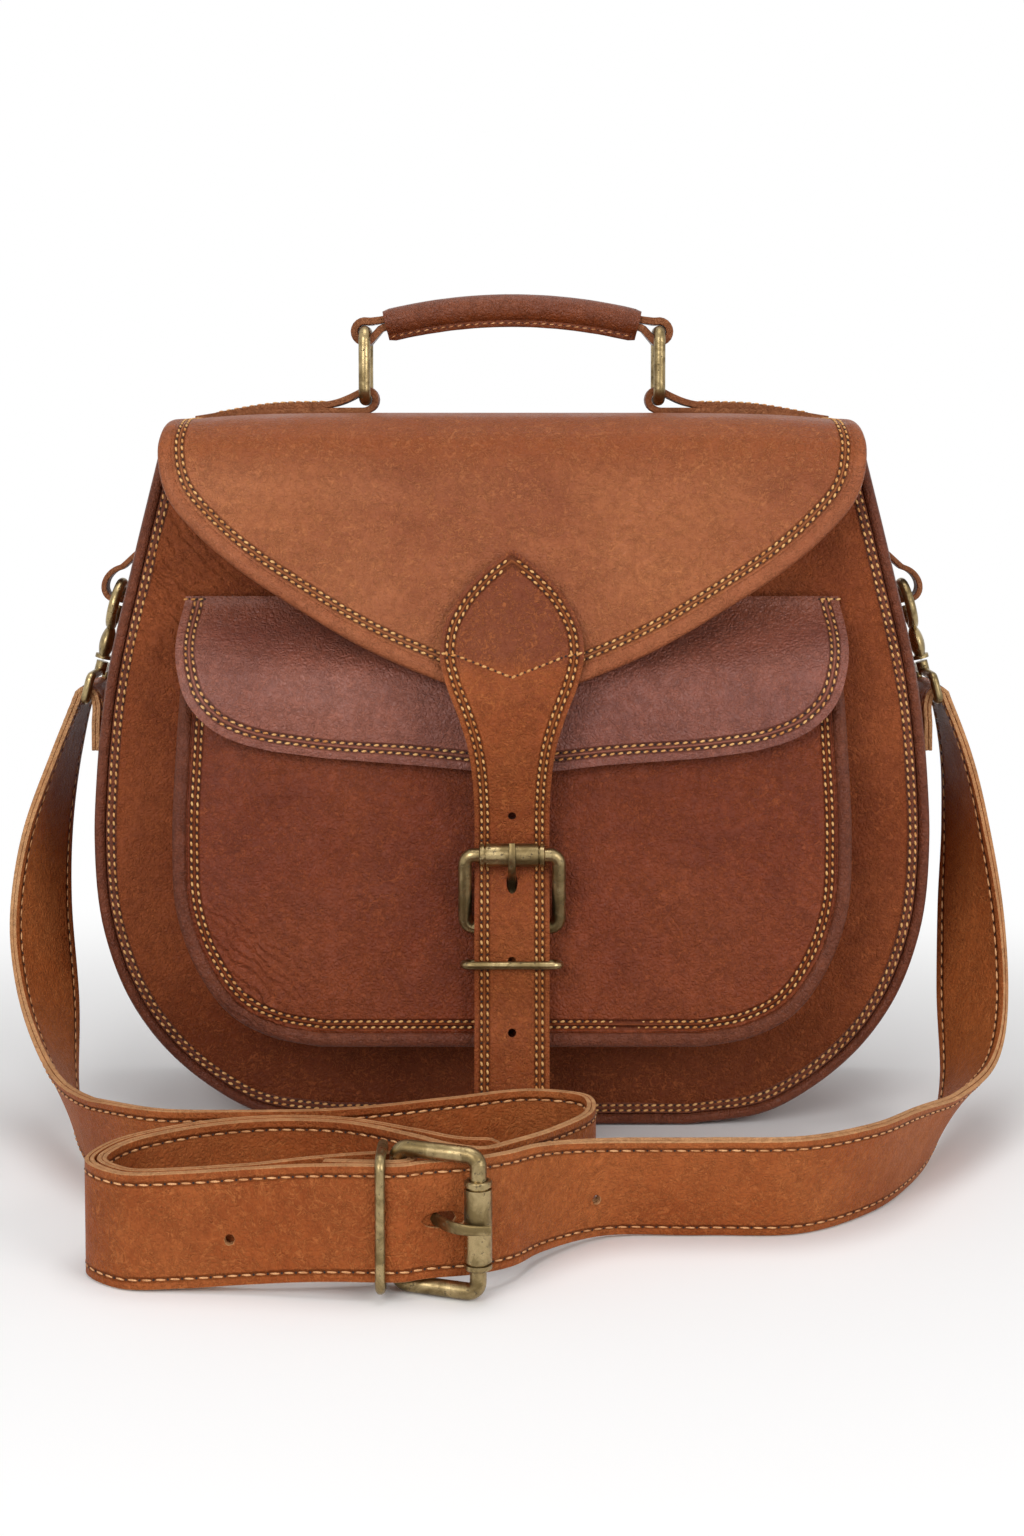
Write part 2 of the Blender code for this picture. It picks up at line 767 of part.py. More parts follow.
def hang(name, point, pieces):
    """Hangs the pieces of one moving body on an empty that sits on the joint's axis."""
    joint = bpy.data.objects.new(name, None)
    joint.location = point
    bpy.context.collection.objects.link(joint)
    for made in pieces:
        made.parent = joint
        made.matrix_parent_inverse = Matrix.Translation(-Vector(point))


BAR_OUT = FIT + CHAPE_THICK + FIT + BUCKLE_WIRE / 2
CHAPE_FOLD = BUCKLE_WIRE / 2 + RUNNING_FIT + CHAPE_THICK / 2
OVER_BAR = BAR_OUT + CHAPE_FOLD + CHAPE_THICK / 2 + FIT + STRAP_THICK / 2
UNDER_ROLLER = ROLLER_OUT - ROLLER_RADIUS - 2 * FIT - STRAP_THICK / 2
ROLLER_UP = BUCKLE_BAR_UP + BUCKLE_BARS_APART
KEEPER_PLY = KEEPER_OUT + KEEPER_WIRE / 2 + FIT + CHAPE_THICK / 2
OVER_KEEPER_PLY = KEEPER_PLY + CHAPE_THICK / 2 + FIT + STRAP_THICK / 2
OVER_JOINED = 2 * (FIT + CHAPE_THICK) + FIT + STRAP_THICK / 2
HOLE_UP = ROLLER_UP - ROLLER_RADIUS - PRONG_SLOT_LONG * PRONG_HOLE_SHARE


def closure_path():
    """The middle layer of the closure strap from the patch's tip to its free end, as (y, z)."""
    profile = flap_profile()
    off = BINDING_THICK / 2 + FIT + STRAP_THICK / 2
    sides = normals_of(profile)
    on_flap = [
        tuple(Vector(p) - n * off)
        for p, n in zip(profile, sides)
        if p[1] < PATCH_TIP_HEIGHT
    ]
    leaning = (
        (ROLLER_UP, UNDER_ROLLER),
        (BUCKLE_BAR_UP, OVER_BAR),
        (KEEPER_UP, OVER_KEEPER_PLY),
        (CHAPE_JOINED * CHAPE_JOINED_SHARE, OVER_JOINED),
        (0.0, OVER_JOINED + POCKET_RIM_PROUD),
    )
    low = [on_pocket(0, up, out)[1:] for up, out in leaning]
    end = (low[-1][0], CLOSURE_END_HEIGHT)
    return curve_through(on_flap + low + [end], STRAP_STEPS)


def closure_strap():
    """One piece: a pointed patch on the flap, a waist, then an even strap with holes."""
    path = closure_path()
    by_depth = [(y, -z) for y, z in path]
    swell = PATCH_WIDTH - CLOSURE_WIDTH
    tall = path[0][1] - NECK_HEIGHT
    widths = [(CLOSURE_WIDTH + swell * wide, at * tall - path[0][1]) for at, wide in PATCH_SHARES]
    stations = [(wide / 2, width_at(by_depth, depth), -depth) for wide, depth in curve_through(widths, 2)]
    stations += [(CLOSURE_WIDTH / 2, y, z) for y, z in path if z < NECK_HEIGHT]
    rows = [[(-half, y, z), (0.0, y, z), (half, y, z)] for half, y, z in stations]
    made = grid("closure_strap", rows, tan, STRAP_THICK)
    deep = STRAP_THICK * 2
    slot = rounded_rectangle(PRONG_SLOT_WIDE, PRONG_SLOT_LONG, PRONG_SLOT_WIDE / 2.5)
    outline = [(x, HOLE_UP + up) for x, up in slot]
    middle = (UNDER_ROLLER + OVER_BAR) / 2
    cut(made, extruded("closure_slot", outline, on_pocket, middle - deep, middle + deep, tan))
    for i in range(1, HOLES_BELOW + 1):
        hole = arc((0.0, HOLE_UP - i * HOLE_PITCH), CLOSURE_HOLE / 2, 0, 360, WIRE_SIDES)[:-1]
        cut(made, extruded(f"closure_hole_{i}", hole, on_pocket, deep / 2, OVER_BAR + deep, tan))
    upper = arc((0.0, ROLLER_UP + HOLE_PITCH * UPPER_HOLE_SHARE), CLOSURE_HOLE / 2, 0, 360, WIRE_SIDES)[:-1]
    cut(made, extruded("closure_hole_top", upper, on_pocket, 0, OVER_BAR + deep, tan))
    return made


def closure_chape():
    """The short strap on the pocket: its end folds round the buckle's lower bar and the keeper."""
    inner = FIT + CHAPE_THICK / 2
    joined = inner + CHAPE_THICK + FIT
    path = [(CHAPE_FOOT, inner), (BUCKLE_BAR_UP, inner)]
    path += arc((BUCKLE_BAR_UP, BAR_OUT), CHAPE_FOLD, -90, 90, 8)[1:]
    path += [(KEEPER_UP, KEEPER_PLY), (CHAPE_JOINED, joined), (CHAPE_FOOT, joined)]
    half = CHAPE_WIDTH / 2
    made = strip("closure_chape", path, CHAPE_THICK, across_pocket, -half, half, tan)
    wide = PRONG_WIDE + 4 * FIT
    high = 2 * (CHAPE_FOLD + CHAPE_THICK)
    slot = [(x, BUCKLE_BAR_UP + up) for x, up in rounded_rectangle(wide, high, wide / 4)]
    return cut(made, extruded("chape_slot", slot, on_pocket, -LEATHER, OVER_BAR + LEATHER, tan))


def frame_point(x, up):
    """A point in the plane of the closure buckle: up runs from its lower bar to its upper one."""
    share = up / BUCKLE_BARS_APART
    return on_pocket(x, BUCKLE_BAR_UP + up, BAR_OUT + share * (ROLLER_OUT - BAR_OUT))


def closure_buckle():
    wide = BUCKLE_WIDE - BUCKLE_WIRE
    loop = rounded_rectangle(wide, BUCKLE_BARS_APART, BUCKLE_CORNER)
    points = [frame_point(x, up + BUCKLE_BARS_APART / 2) for x, up in loop]
    bar = on_pocket(0, BUCKLE_BAR_UP, BAR_OUT)
    frame = pivot(tube("closure_buckle_frame", points, BUCKLE_WIRE / 2, brass, closed=True), bar)
    top = on_pocket(0, ROLLER_UP, ROLLER_OUT)
    ends = [on_pocket(side * ROLLER_LONG / 2, ROLLER_UP, ROLLER_OUT) for side in (-1, 1)]
    bore = BUCKLE_WIRE / 2 + RUNNING_FIT
    roller = pivot(hollow_tube("closure_roller", ends, ROLLER_RADIUS, bore, brass, ROLLER_SIDES), top)
    eye = BUCKLE_WIRE / 2 + RUNNING_FIT + PRONG_THICK / 2
    path = arc((BUCKLE_BAR_UP, BAR_OUT), eye, 390, 90, 10)
    over = ROLLER_RADIUS + 2 * FIT + PRONG_THICK / 2
    path += [
        (BUCKLE_BAR_UP + up * BUCKLE_BARS_APART, BAR_OUT + eye + out * (ROLLER_OUT + over - BAR_OUT - eye))
        for up, out in PRONG_SHARES
    ]
    half = PRONG_WIDE / 2
    prong = pivot(strip("closure_prong", path, PRONG_THICK, across_pocket, -half, half, brass), bar)
    hang("closure_buckle_joint", bar, (frame, roller, prong))


def closure_keeper():
    front = OVER_KEEPER_PLY + STRAP_THICK / 2 + FIT + KEEPER_WIRE / 2
    loop = rounded_rectangle(KEEPER_WIDE - KEEPER_WIRE, front - KEEPER_OUT, KEEPER_WIRE)
    points = [on_pocket(x, KEEPER_UP, (front + KEEPER_OUT) / 2 + out) for x, out in loop]
    made = tube("closure_keeper", points, KEEPER_WIRE / 2, brass, closed=True)
    pivot(made, on_pocket(0, KEEPER_UP, KEEPER_OUT))


LOOP_FOLD = RING_WIRE / 2 + LOOP_PLAY + LOOP_WALL / 2
RING_FOOT = FLAP_TOP_HEIGHT + FIT + LOOP_FOLD + LOOP_WALL / 2
RING_TOP = RING_FOOT + RING_HIGH - RING_WIRE


def handle_rings():
    for side, word in ((-1, "left"), (1, "right")):
        loop = rounded_rectangle(RING_WIDE - RING_WIRE, RING_HIGH - RING_WIRE, RING_CORNER)
        x = side * HANDLE_HALF_SPAN
        points = [(x, y, (RING_FOOT + RING_TOP) / 2 + z) for y, z in loop]
        made = tube("handle_ring_" + word, points, RING_WIRE / 2, brass, closed=True)
        pivot(made, (x, 0, RING_FOOT))


def flap_columns():
    """How far the flap's columns of faces lie from the middle, on its top."""
    wide = FLAP_EDGE_SHARES[0][1] * FLAP_HALF_WIDTH - BINDING_WIDTH - FIT
    return [wide * 2 * i / FLAP_COLUMNS for i in range(FLAP_COLUMNS // 2 + 1)]


def flap_top(x):
    """The height of the flap's upper face at a distance from the middle."""
    heights = [(drooped(c, 0, 0)[2] + FLAP_TOP_HEIGHT, c) for c in flap_columns()]
    return width_at(heights, x)


def handle_tab(side, word):
    """A strip folded round the ring, with both ends tapered along the flap's top."""
    x = HANDLE_HALF_SPAN
    tip = x + HANDLE_TAB_LONG
    low = FIT + LOOP_WALL / 2
    high = low + LOOP_WALL + FIT
    outward = [tip] + [c for c in flap_columns()[::-1] if x < c < tip] + [x]
    path = [(p, flap_top(p) + low) for p in outward]
    path += arc((x, RING_FOOT), LOOP_FOLD, -90, -270, 12)[1:]
    path += [(x + HANDLE_TAB_LONG * along, flap_top(x) + high + LOOP_FOLD * up) for along, up in TAB_RISE_SHARES]
    path += [(p, flap_top(p) + high) for p in reversed(outward) if p > path[-1][0] + LOOP_FOLD]
    rows = []
    for px, pz in path:
        taper = max((px - x) / HANDLE_TAB_LONG, 0.0)
        wide = HANDLE_TAB_WIDE * (1 - taper) + TAB_TIP_WIDE * taper
        swell = min(max((px - x) / LOOP_DEEP, 0.0), 1.0)
        half = (LOOP_DEEP + (wide - LOOP_DEEP) * swell) / 2
        rows.append([(side * px, -half, pz), (side * px, half, pz)])
    return grid("handle_tab_" + word, rows, tan, LOOP_WALL)


def handle_height(x):
    """The height of the handle's middle line at a distance from the middle."""
    return RING_TOP + HANDLE_END_UP + HANDLE_RISE * (1 - (x / HANDLE_HALF_SPAN) ** 2)


def handle():
    """A strip folded round both rings and, over its middle, a rolled sleeve with a seam flange."""
    ply = (LOOP_WALL + FIT) / 2
    inside = SLEEVE_HALF_LONG - SLEEVE_INSIDE
    core_end = SLEEVE_HALF_LONG + SLEEVE_INSIDE / 2
    lap = SLEEVE_HALF_LONG * CORE_LAP_SHARE
    x = HANDLE_HALF_SPAN
    half_path = [(px, handle_height(px) - ply) for px in (lap, (lap + inside) / 2, inside, core_end)]
    half_path += arc((x, RING_TOP), LOOP_FOLD, -110, 110, 12)
    over = [core_end] + [inside * (1 - i / SLEEVE_STEPS) for i in range(SLEEVE_STEPS + 1)]
    half_path += [(px, handle_height(px) + ply) for px in over]
    path = half_path + [(-px, pz) for px, pz in reversed(half_path[:-1])]
    rows = []
    for px, pz in path:
        swell = min(max((abs(px) - core_end) / (x - LOOP_FOLD - core_end), 0.0), 1.0)
        half = (CORE_WIDE + (LOOP_DEEP - CORE_WIDE) * swell) / 2
        rows.append([(px, -half, pz), (px, half, pz)])
    core = grid("handle_core", rows, brown, LOOP_WALL)
    stations = [SLEEVE_HALF_LONG * (2 * i / SLEEVE_STEPS - 1) for i in range(SLEEVE_STEPS + 1)]
    line = [(px, 0, handle_height(px)) for px in stations]
    sleeve = hollow_tube("handle_sleeve", line, SLEEVE_RADIUS, SLEEVE_RADIUS - SLEEVE_WALL, brown, SLEEVE_SIDES)
    low = SLEEVE_RADIUS + SLEEVE_FLANGE
    flange = [[(px, 0, z - SLEEVE_RADIUS + SLEEVE_WALL / 2), (px, 0, z - low)] for px, y, z in line]
    cut(sleeve, grid("sleeve_flange", flange, brown, SLEEVE_FLANGE_WIDE), "UNION")
    return [core, sleeve]


def gusset_side(z):
    """The outer face of the gusset at a height, as a distance from the middle."""
    half = body_outline()
    shrink = (BAG_HALF_WIDTH - GUSSET_INSET - LEATHER / 2) / BAG_HALF_WIDTH
    return width_at(half, z) * shrink + LEATHER / 2


def side_loop_centre():
    return gusset_side(SIDE_LOOP_HEIGHT) + SIDE_LOOP_STAND_OFF


def side_tab(side, word):
    """A folded strip on the gusset that holds the snap hook in its loop."""
    inner = FIT + SIDE_LOOP_WALL / 2
    outer = inner + SIDE_LOOP_WALL + FIT
    fold = SIDE_LOOP_BORE + SIDE_LOOP_WALL / 2
    top = SIDE_LOOP_HEIGHT + fold + SIDE_TAB_LONG
    start = SIDE_LOOP_HEIGHT + fold * 2
    path = [(inner, top), (inner, start)]
    path += arc((SIDE_LOOP_STAND_OFF, SIDE_LOOP_HEIGHT), fold, 180, 440, 14)
    path += [(outer, start + LOOP_WALL), (outer, top)]
    line = [(gusset_side(z) + off, z) for off, z in path]
    half = SIDE_TAB_WIDE / 2
    place = lambda x, z, d: (side * x, d, z)
    return strip("side_tab_" + word, line, SIDE_LOOP_WALL, place, -half, half, brown)


def hook_place(side):
    """Turns a point of an upright hook, whose bow is centred on the origin, to its leaning place."""
    lean = math.radians(HOOK_LEAN_DEG)
    centre = Vector((side_loop_centre(), 0, SIDE_LOOP_HEIGHT))
    centre += Vector((math.sin(lean), 0, -math.cos(lean))) * HOOK_BOW

    def place(x, y, z):
        out = centre.x + x * math.cos(lean) - z * math.sin(lean)
        up = centre.z + x * math.sin(lean) + z * math.cos(lean)
        return (side * out, y, up)

    return place


def bow(angle_deg, radius=HOOK_BOW):
    """A point on the hook's bow, by its angle from the top towards the front."""
    turn = math.radians(angle_deg)
    return (0, -radius * math.sin(turn), radius * math.cos(turn))


def snap_hook(side, word):
    place = hook_place(side)
    steps = 18
    reach = GATE_FROM_DEG - GATE_GAP_DEG
    angles = [-reach + (reach + CLAW_END_DEG) * i / steps for i in range(steps + 1)]
    claw_line = [place(*bow(a)) for a in angles]
    low = -HOOK_BOW - HOOK_BODY_LONG
    middle = (low - HOOK_BOW) / 2
    body_outline_points = [
        (HOOK_BODY_WIDE / 2 * math.cos(t), middle + HOOK_BODY_LONG / 2 * math.sin(t))
        for t in (math.tau * i / ROLLER_SIDES for i in range(ROLLER_SIDES))
    ]
    half = HOOK_BODY_THICK / 2
    body = extruded("hook_" + word, body_outline_points, lambda y, z, d: place(d, y, z), -half, half, brass)
    round_off(body, HOOK_BODY_THICK / 4, 2)
    cut(body, tube("claw_" + word, claw_line, HOOK_WIRE / 2, brass), "UNION")
    pivot(body, place(0, 0, middle))
    gate_angles = [-(GATE_FROM_DEG + (GATE_TO_DEG - GATE_FROM_DEG) * i / 6) for i in range(7)]
    gate = tube("hook_gate_" + word, [place(*bow(a)) for a in gate_angles], HOOK_WIRE * GATE_WIRE_SHARE, brass)
    pivot(gate, place(*bow(-GATE_TO_DEG)))
    rod = EYE_WIRE / 2
    loop = rounded_rectangle(EYE_INSIDE + EYE_WIRE, EYE_HIGH, EYE_CORNER)
    centre = -EYE_DROP + EYE_HIGH / 2
    eye = tube("hook_eye_" + word, [place(0, y, centre + z) for y, z in loop], rod, brass, closed=True)
    post = [place(0, 0, centre + EYE_HIGH / 2), place(0, 0, low - FIT * 2)]
    return cut(eye, tube("post_" + word, post, EYE_POST, brass), "UNION")


STRAP_FLOOR = SHOULDER_WIDTH / 2
BUCKLE_LIFT = (FRAME_TALL - SHOULDER_WIDTH) / 2
FOLD = FRAME_WIRE / 2 + FIT + SHOULDER_THICK / 2
PITCH = SHOULDER_THICK + STRAP_PLAY
BAR_X = -FRAME_BAR_SIDE
BAR_Y = -STRAP_REACH * FRONT_RUN_SHARE - FOLD / 2
ROLLER_X = BAR_X + FRAME_BARS_APART
ROLLER_Y = BAR_Y - FRAME_LEAN


def standing(x, y, lift, lean=0.0):
    """A station of the strap on its edge on the floor: its middle and the direction to its upper edge."""
    across = Vector((0, -lean, math.sqrt(1 - lean * lean)))
    low = STRAP_FLOOR * across.z + SHOULDER_THICK / 2 * lean
    return (x, y, low + lift * BUCKLE_LIFT, *across)


def hanging_end(side, shares):
    """Stations from the folded end inside the hook's eye, round its bar and down to the floor."""
    place = hook_place(side)
    bar = Vector(place(0, 0, -EYE_DROP))
    fold = EYE_WIRE / 2 + FIT + SHOULDER_THICK / 2
    across = (0.0, -1.0, 0.0)
    lap = bar.z - STRAP_LAP
    stations = [(bar.x - side * fold, 0.0, lap, *across), (bar.x - side * fold, 0.0, (lap + bar.z) / 2, *across)]
    for x, z in arc((0, 0), fold, 180, 0, 4):
        stations.append((bar.x + side * x, 0.0, bar.z + z, *across))
    for x, y, up, ax, ay, az in shares:
        way = Vector((side * ax, -ay, az)).normalized()
        low = STRAP_FLOOR * way.z + SHOULDER_THICK / 2 * math.sqrt(1 - way.z * way.z)
        z = low + up * (bar.z - STRAP_FLOOR)
        stations.append((side * x * BAG_HALF_WIDTH, -y * STRAP_REACH, z, *way))
    return stations


def floor_stations(shares):
    return [standing(row[0] * BAG_HALF_WIDTH, -row[1] * STRAP_REACH, *row[2:]) for row in shares]


def strap_object(name, stations, holes):
    """A flat strap through its stations, with holes at some places along it."""
    rows = []
    for x, y, z, ax, ay, az in curve_through(stations, STRAP_STEPS):
        way = Vector((ax, ay, az)).normalized()
        low = STRAP_FLOOR * abs(way.z) + SHOULDER_THICK / 2 * math.sqrt(1 - way.z * way.z)
        middle = Vector((x, y, max(z, low)))
        rows.append([middle - way * STRAP_FLOOR, middle + way * STRAP_FLOOR])
    made = grid(name, rows, light, SHOULDER_THICK)
    for i, (spot, way, wide, high) in enumerate(holes):
        made = cut(made, strap_hole(f"{name}_hole_{i}", spot, way, wide, high))
    return made


def strap_hole(name, spot, way, wide, high):
    """A cutter through an upright strap: way is the flat direction through it."""
    ahead = Vector((*way, 0)).normalized()
    along = Vector((0, 0, 1)).cross(ahead)
    outline = rounded_rectangle(wide, high, min(wide, high) / 2.5)
    deep = SHOULDER_THICK * 2

    def place(a, b, d):
        return Vector(spot) + along * a + Vector((0, 0, b)) + ahead * d

    return extruded(name, outline, place, -deep, deep, light)


def round_hole(stations, share):
    """A round hole where the strap first passes a share of the bag's half width."""
    x = share * BAG_HALF_WIDTH
    path = [Vector(p[:3]) for p in curve_through(stations, STRAP_STEPS)]
    near, far = next((a, b) for a, b in zip(path, path[1:]) if min(a.x, b.x) <= x <= max(a.x, b.x))
    spot = near.lerp(far, (x - near.x) / (far.x - near.x))
    along = far - near
    place = (spot.x, spot.y, spot.z * 2 * SHOULDER_HOLE_HEIGHT_SHARE)
    return (place, (-along.y, along.x), SHOULDER_HOLE, SHOULDER_HOLE)


def through_buckle():
    """Where the holed end passes the buckle: behind the roller, then over the other end's fold."""
    behind_roller = ROLLER_Y + STRAP_ROLLER_RADIUS + 2 * FIT + SHOULDER_THICK / 2
    return [(ROLLER_X, behind_roller)] + arc((BAR_X, BAR_Y), FOLD + PITCH, -50, -90, 2)


def up_to_loop():
    """Stations of the holed end from the right hook's eye to where it starts to go round the other end."""
    outer = BAR_Y - FOLD - PITCH
    stations = hanging_end(1, RIGHT_DROP_SHARES) + floor_stations(RIGHT_FLOOR_SHARES)
    stations += [standing(x, y, 1.0) for x, y in through_buckle()]
    stations += [
        standing(BAR_X - FOLD_LAP * along, outer + FOLD * out, lift)
        for along, out, lift in OUTER_RUN_SHARES
    ]
    return stations


def holed_end():
    """The half of the shoulder strap with the holes, from the right hook to its tip."""
    stations = up_to_loop() + floor_stations(LOOP_SHARES + TAIL_SHARES)
    near, far = [Vector(p) for p in through_buckle()[:2]]
    middle = near.lerp(far, 0.5)
    along = far - near
    spot = (middle.x, middle.y, FRAME_TALL / 2)
    slot = (spot, (-along.y, along.x), STRAP_SLOT_LONG, STRAP_PRONG_WIDE + 4 * FIT)
    holes = [round_hole(stations, share) for share in SHOULDER_HOLE_SHARES]
    return strap_object("strap_holed_end", stations, [slot] + holes)


def buckle_end():
    """The half of the shoulder strap that carries the buckle, from the left hook to its fold."""
    stations = hanging_end(-1, LEFT_DROP_SHARES) + floor_stations(LEFT_FLOOR_SHARES)
    before = up_to_loop()
    outside = curve_through(before + floor_stations(LOOP_SHARES + TAIL_SHARES), STRAP_STEPS)
    first = len(before) * STRAP_STEPS
    run = outside[first:first + (len(LOOP_SHARES) - 1) * STRAP_STEPS + 1]
    inner = offset([p[:2] for p in run], -PITCH)
    stations += [(x, y, *p[2:]) for (x, y), p in zip(inner, run)][::-1]
    stations.append(standing(BAR_X - FOLD_LAP, BAR_Y + FOLD * INNER_RUN_SHARE, 0.85))
    straight = BAR_X - FOLD * FOLD_STRAIGHT_SHARE
    stations.append(standing(straight, BAR_Y + FOLD, 1.0))
    for x, y in arc((BAR_X, BAR_Y), FOLD, 90, -90, 4):
        stations.append(standing(x, y, 1.0))
    stations.append(standing(straight, BAR_Y - FOLD, 1.0))
    lap_y = BAR_Y + FOLD * INNER_RUN_SHARE - SHOULDER_THICK - 2 * FIT
    stations.append(standing(BAR_X - FOLD_LAP * LAP_END_SHARE, lap_y, 0.92))
    slot = ((BAR_X, BAR_Y, FRAME_TALL / 2), (1, 0), 4 * FOLD, STRAP_PRONG_WIDE + 4 * FIT)
    return strap_object("strap_buckle_end", stations, [slot])


def shoulder_buckle():
    middle = FRAME_TALL / 2
    tall = FRAME_TALL - FRAME_WIRE
    loop = rounded_rectangle(FRAME_BARS_APART, tall, FRAME_CORNER)
    points = []
    for a, b in loop:
        share = a / FRAME_BARS_APART + 0.5
        points.append((BAR_X + share * FRAME_BARS_APART, BAR_Y - share * FRAME_LEAN, middle + b))
    bar = (BAR_X, BAR_Y, middle)
    frame = pivot(tube("shoulder_buckle_frame", points, FRAME_WIRE / 2, brass, closed=True), bar)
    ends = [(ROLLER_X, ROLLER_Y, middle + side * STRAP_ROLLER_LONG / 2) for side in (-1, 1)]
    bore = FRAME_WIRE / 2 + RUNNING_FIT
    roller = hollow_tube("shoulder_roller", ends, STRAP_ROLLER_RADIUS, bore, brass, ROLLER_SIDES)
    pivot(roller, (ROLLER_X, ROLLER_Y, middle))
    eye = FRAME_WIRE / 2 + RUNNING_FIT + PRONG_THICK / 2
    path = arc((BAR_X, BAR_Y), eye, -30, 270, 10)
    over = STRAP_ROLLER_RADIUS + 3 * FIT + PRONG_THICK / 2
    path += [
        (BAR_X + along * FRAME_BARS_APART, BAR_Y - eye - out * (FRAME_LEAN + over - eye))
        for along, out in PRONG_SHARES
    ]
    half = STRAP_PRONG_WIDE / 2
    place = lambda x, y, d: (x, y, middle + d)
    prong = pivot(strip("shoulder_prong", path, PRONG_THICK, place, -half, half, brass), bar)
    hang("shoulder_buckle_joint", bar, (frame, roller, prong))


def shoulder_keeper():
    """The wire ring that holds the strap's layers together beside the buckle."""
    x = BAR_X - FRAME_WIRE / 2 - 2 * FIT - STRAP_KEEPER_WIRE / 2
    inner = BAR_Y + FOLD + SHOULDER_THICK / 2 + FIT + STRAP_KEEPER_WIRE / 2
    outer = BAR_Y - FOLD - PITCH - SHOULDER_THICK / 2 - FIT - STRAP_KEEPER_WIRE / 2
    tall = STRAP_KEEPER_TALL - STRAP_KEEPER_WIRE
    loop = rounded_rectangle(inner - outer, tall, STRAP_KEEPER_WIRE)
    points = [(x, (inner + outer) / 2 + a, FRAME_TALL / 2 + b) for a, b in loop]
    made = tube("shoulder_keeper", points, STRAP_KEEPER_WIRE / 2, brass, closed=True)
    pivot(made, (x, (inner + outer) / 2, FRAME_TALL / 2))


def clear_scene():
    for made in list(bpy.data.objects):
        bpy.data.objects.remove(made)


clear_scene()
main_compartment()
pocket()
pocket_flap()
flap_pieces = main_flap() + [closure_strap()]
closure_chape()
closure_buckle()
closure_keeper()
handle_rings()
hang("handle_joint", (-HANDLE_HALF_SPAN, 0, RING_TOP), handle())
strap_pieces = [holed_end(), buckle_end()]
for turn, name in ((-1, "left"), (1, "right")):
    flap_pieces.append(handle_tab(turn, name))
    side_tab(turn, name)
    strap_pieces.append(snap_hook(turn, name))
hang("flap_joint", (0, BAG_DEPTH / 2 - RIM_PROUD, BAG_HEIGHT), flap_pieces)
hang("strap_joint", (0, 0, hook_place(1)(0, 0, 0)[2]), strap_pieces)
shoulder_buckle()
shoulder_keeper()
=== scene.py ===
# %% [markdown]
# # A saddle-shaped leather satchel
# The bag stands on a pale floor with its shoulder strap folded in front of it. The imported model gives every
# part's place and joints. This script dresses it: leather cut from flat patterns and laid on the form, thread
# in punched holes, and worn brass. Every length is in metres and every piece is built where it belongs.

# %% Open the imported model
import bisect
import math

import bmesh
import bpy
import numpy as np
from mathutils import Matrix, Vector, noise


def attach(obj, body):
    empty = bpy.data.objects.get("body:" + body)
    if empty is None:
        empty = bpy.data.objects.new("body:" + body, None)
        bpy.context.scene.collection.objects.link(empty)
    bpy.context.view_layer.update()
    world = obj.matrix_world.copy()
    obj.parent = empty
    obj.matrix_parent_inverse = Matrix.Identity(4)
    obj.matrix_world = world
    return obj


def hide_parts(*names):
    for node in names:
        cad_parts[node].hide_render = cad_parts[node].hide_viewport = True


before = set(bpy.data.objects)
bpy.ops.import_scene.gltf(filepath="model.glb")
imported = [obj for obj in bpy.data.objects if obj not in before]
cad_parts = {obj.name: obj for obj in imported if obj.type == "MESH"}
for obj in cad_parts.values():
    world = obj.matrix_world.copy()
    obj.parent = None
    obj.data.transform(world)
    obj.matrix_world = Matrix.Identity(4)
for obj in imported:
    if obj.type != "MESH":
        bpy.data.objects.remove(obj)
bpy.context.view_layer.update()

# %% [markdown]
# ## Camera
# The picture is taken from a little above the flap, about a metre in front. The lens looks slightly down. A
# small shift keeps the bag's sides upright in the tall frame, the way a product photographer sets a view camera.

# %% Camera
CAMERA_PLACE = (0.0, -0.9814, 0.2792)
CAMERA_DOWN_DEG = 3.767
SENSOR_MM = 36.0
LENS_MM = 55.75
LENS_SHIFT = -0.12
camera_data = bpy.data.cameras.new("camera")
camera_data.sensor_width = SENSOR_MM
camera_data.lens = LENS_MM
camera_data.shift_y = LENS_SHIFT
camera_data.clip_start = 0.01
camera = bpy.data.objects.new("camera", camera_data)
bpy.context.scene.collection.objects.link(camera)
camera.location = CAMERA_PLACE
camera.rotation_euler = (math.radians(90.0 - CAMERA_DOWN_DEG), 0.0, 0.0)
bpy.context.scene.camera = camera
bpy.context.scene.view_settings.view_transform = "Standard"
print("camera at", CAMERA_PLACE, "looking down", CAMERA_DOWN_DEG, "degrees")

# %% [markdown]
# ## Arithmetic on sockets
# A procedural finish is a formula. Writing it as one keeps it readable, so a small class wraps a socket and lets
# plain operators add the Math nodes. Every other node is made by one method, settings first, then its sockets.

# %% Values and finishes
class Value:
    """A socket that carries a number, with operators that add Math nodes."""

    def __init__(self, finish, socket):
        self.finish = finish
        self.socket = socket

    def math(self, operation, *others, swapped=False):
        values = [self, *others]
        if swapped:
            values.reverse()
        return self.finish.add("ShaderNodeMath", {"operation": operation}, dict(enumerate(values)))

    def __add__(self, other):
        return self.math("ADD", other)

    def __mul__(self, other):
        return self.math("MULTIPLY", other)

    def __sub__(self, other):
        return self.math("SUBTRACT", other)

    def __rsub__(self, other):
        return self.math("SUBTRACT", other, swapped=True)

    def __truediv__(self, other):
        return self.math("DIVIDE", other)

    __radd__ = __add__
    __rmul__ = __mul__

    def between(self, low, high, start=0.0, end=1.0):
        """The value spread from low..high to start..end with soft ends, and held there."""
        sockets = {"Value": self, "From Min": low, "From Max": high, "To Min": start, "To Max": end}
        return self.finish.add("ShaderNodeMapRange", {"interpolation_type": "SMOOTHSTEP"}, sockets)


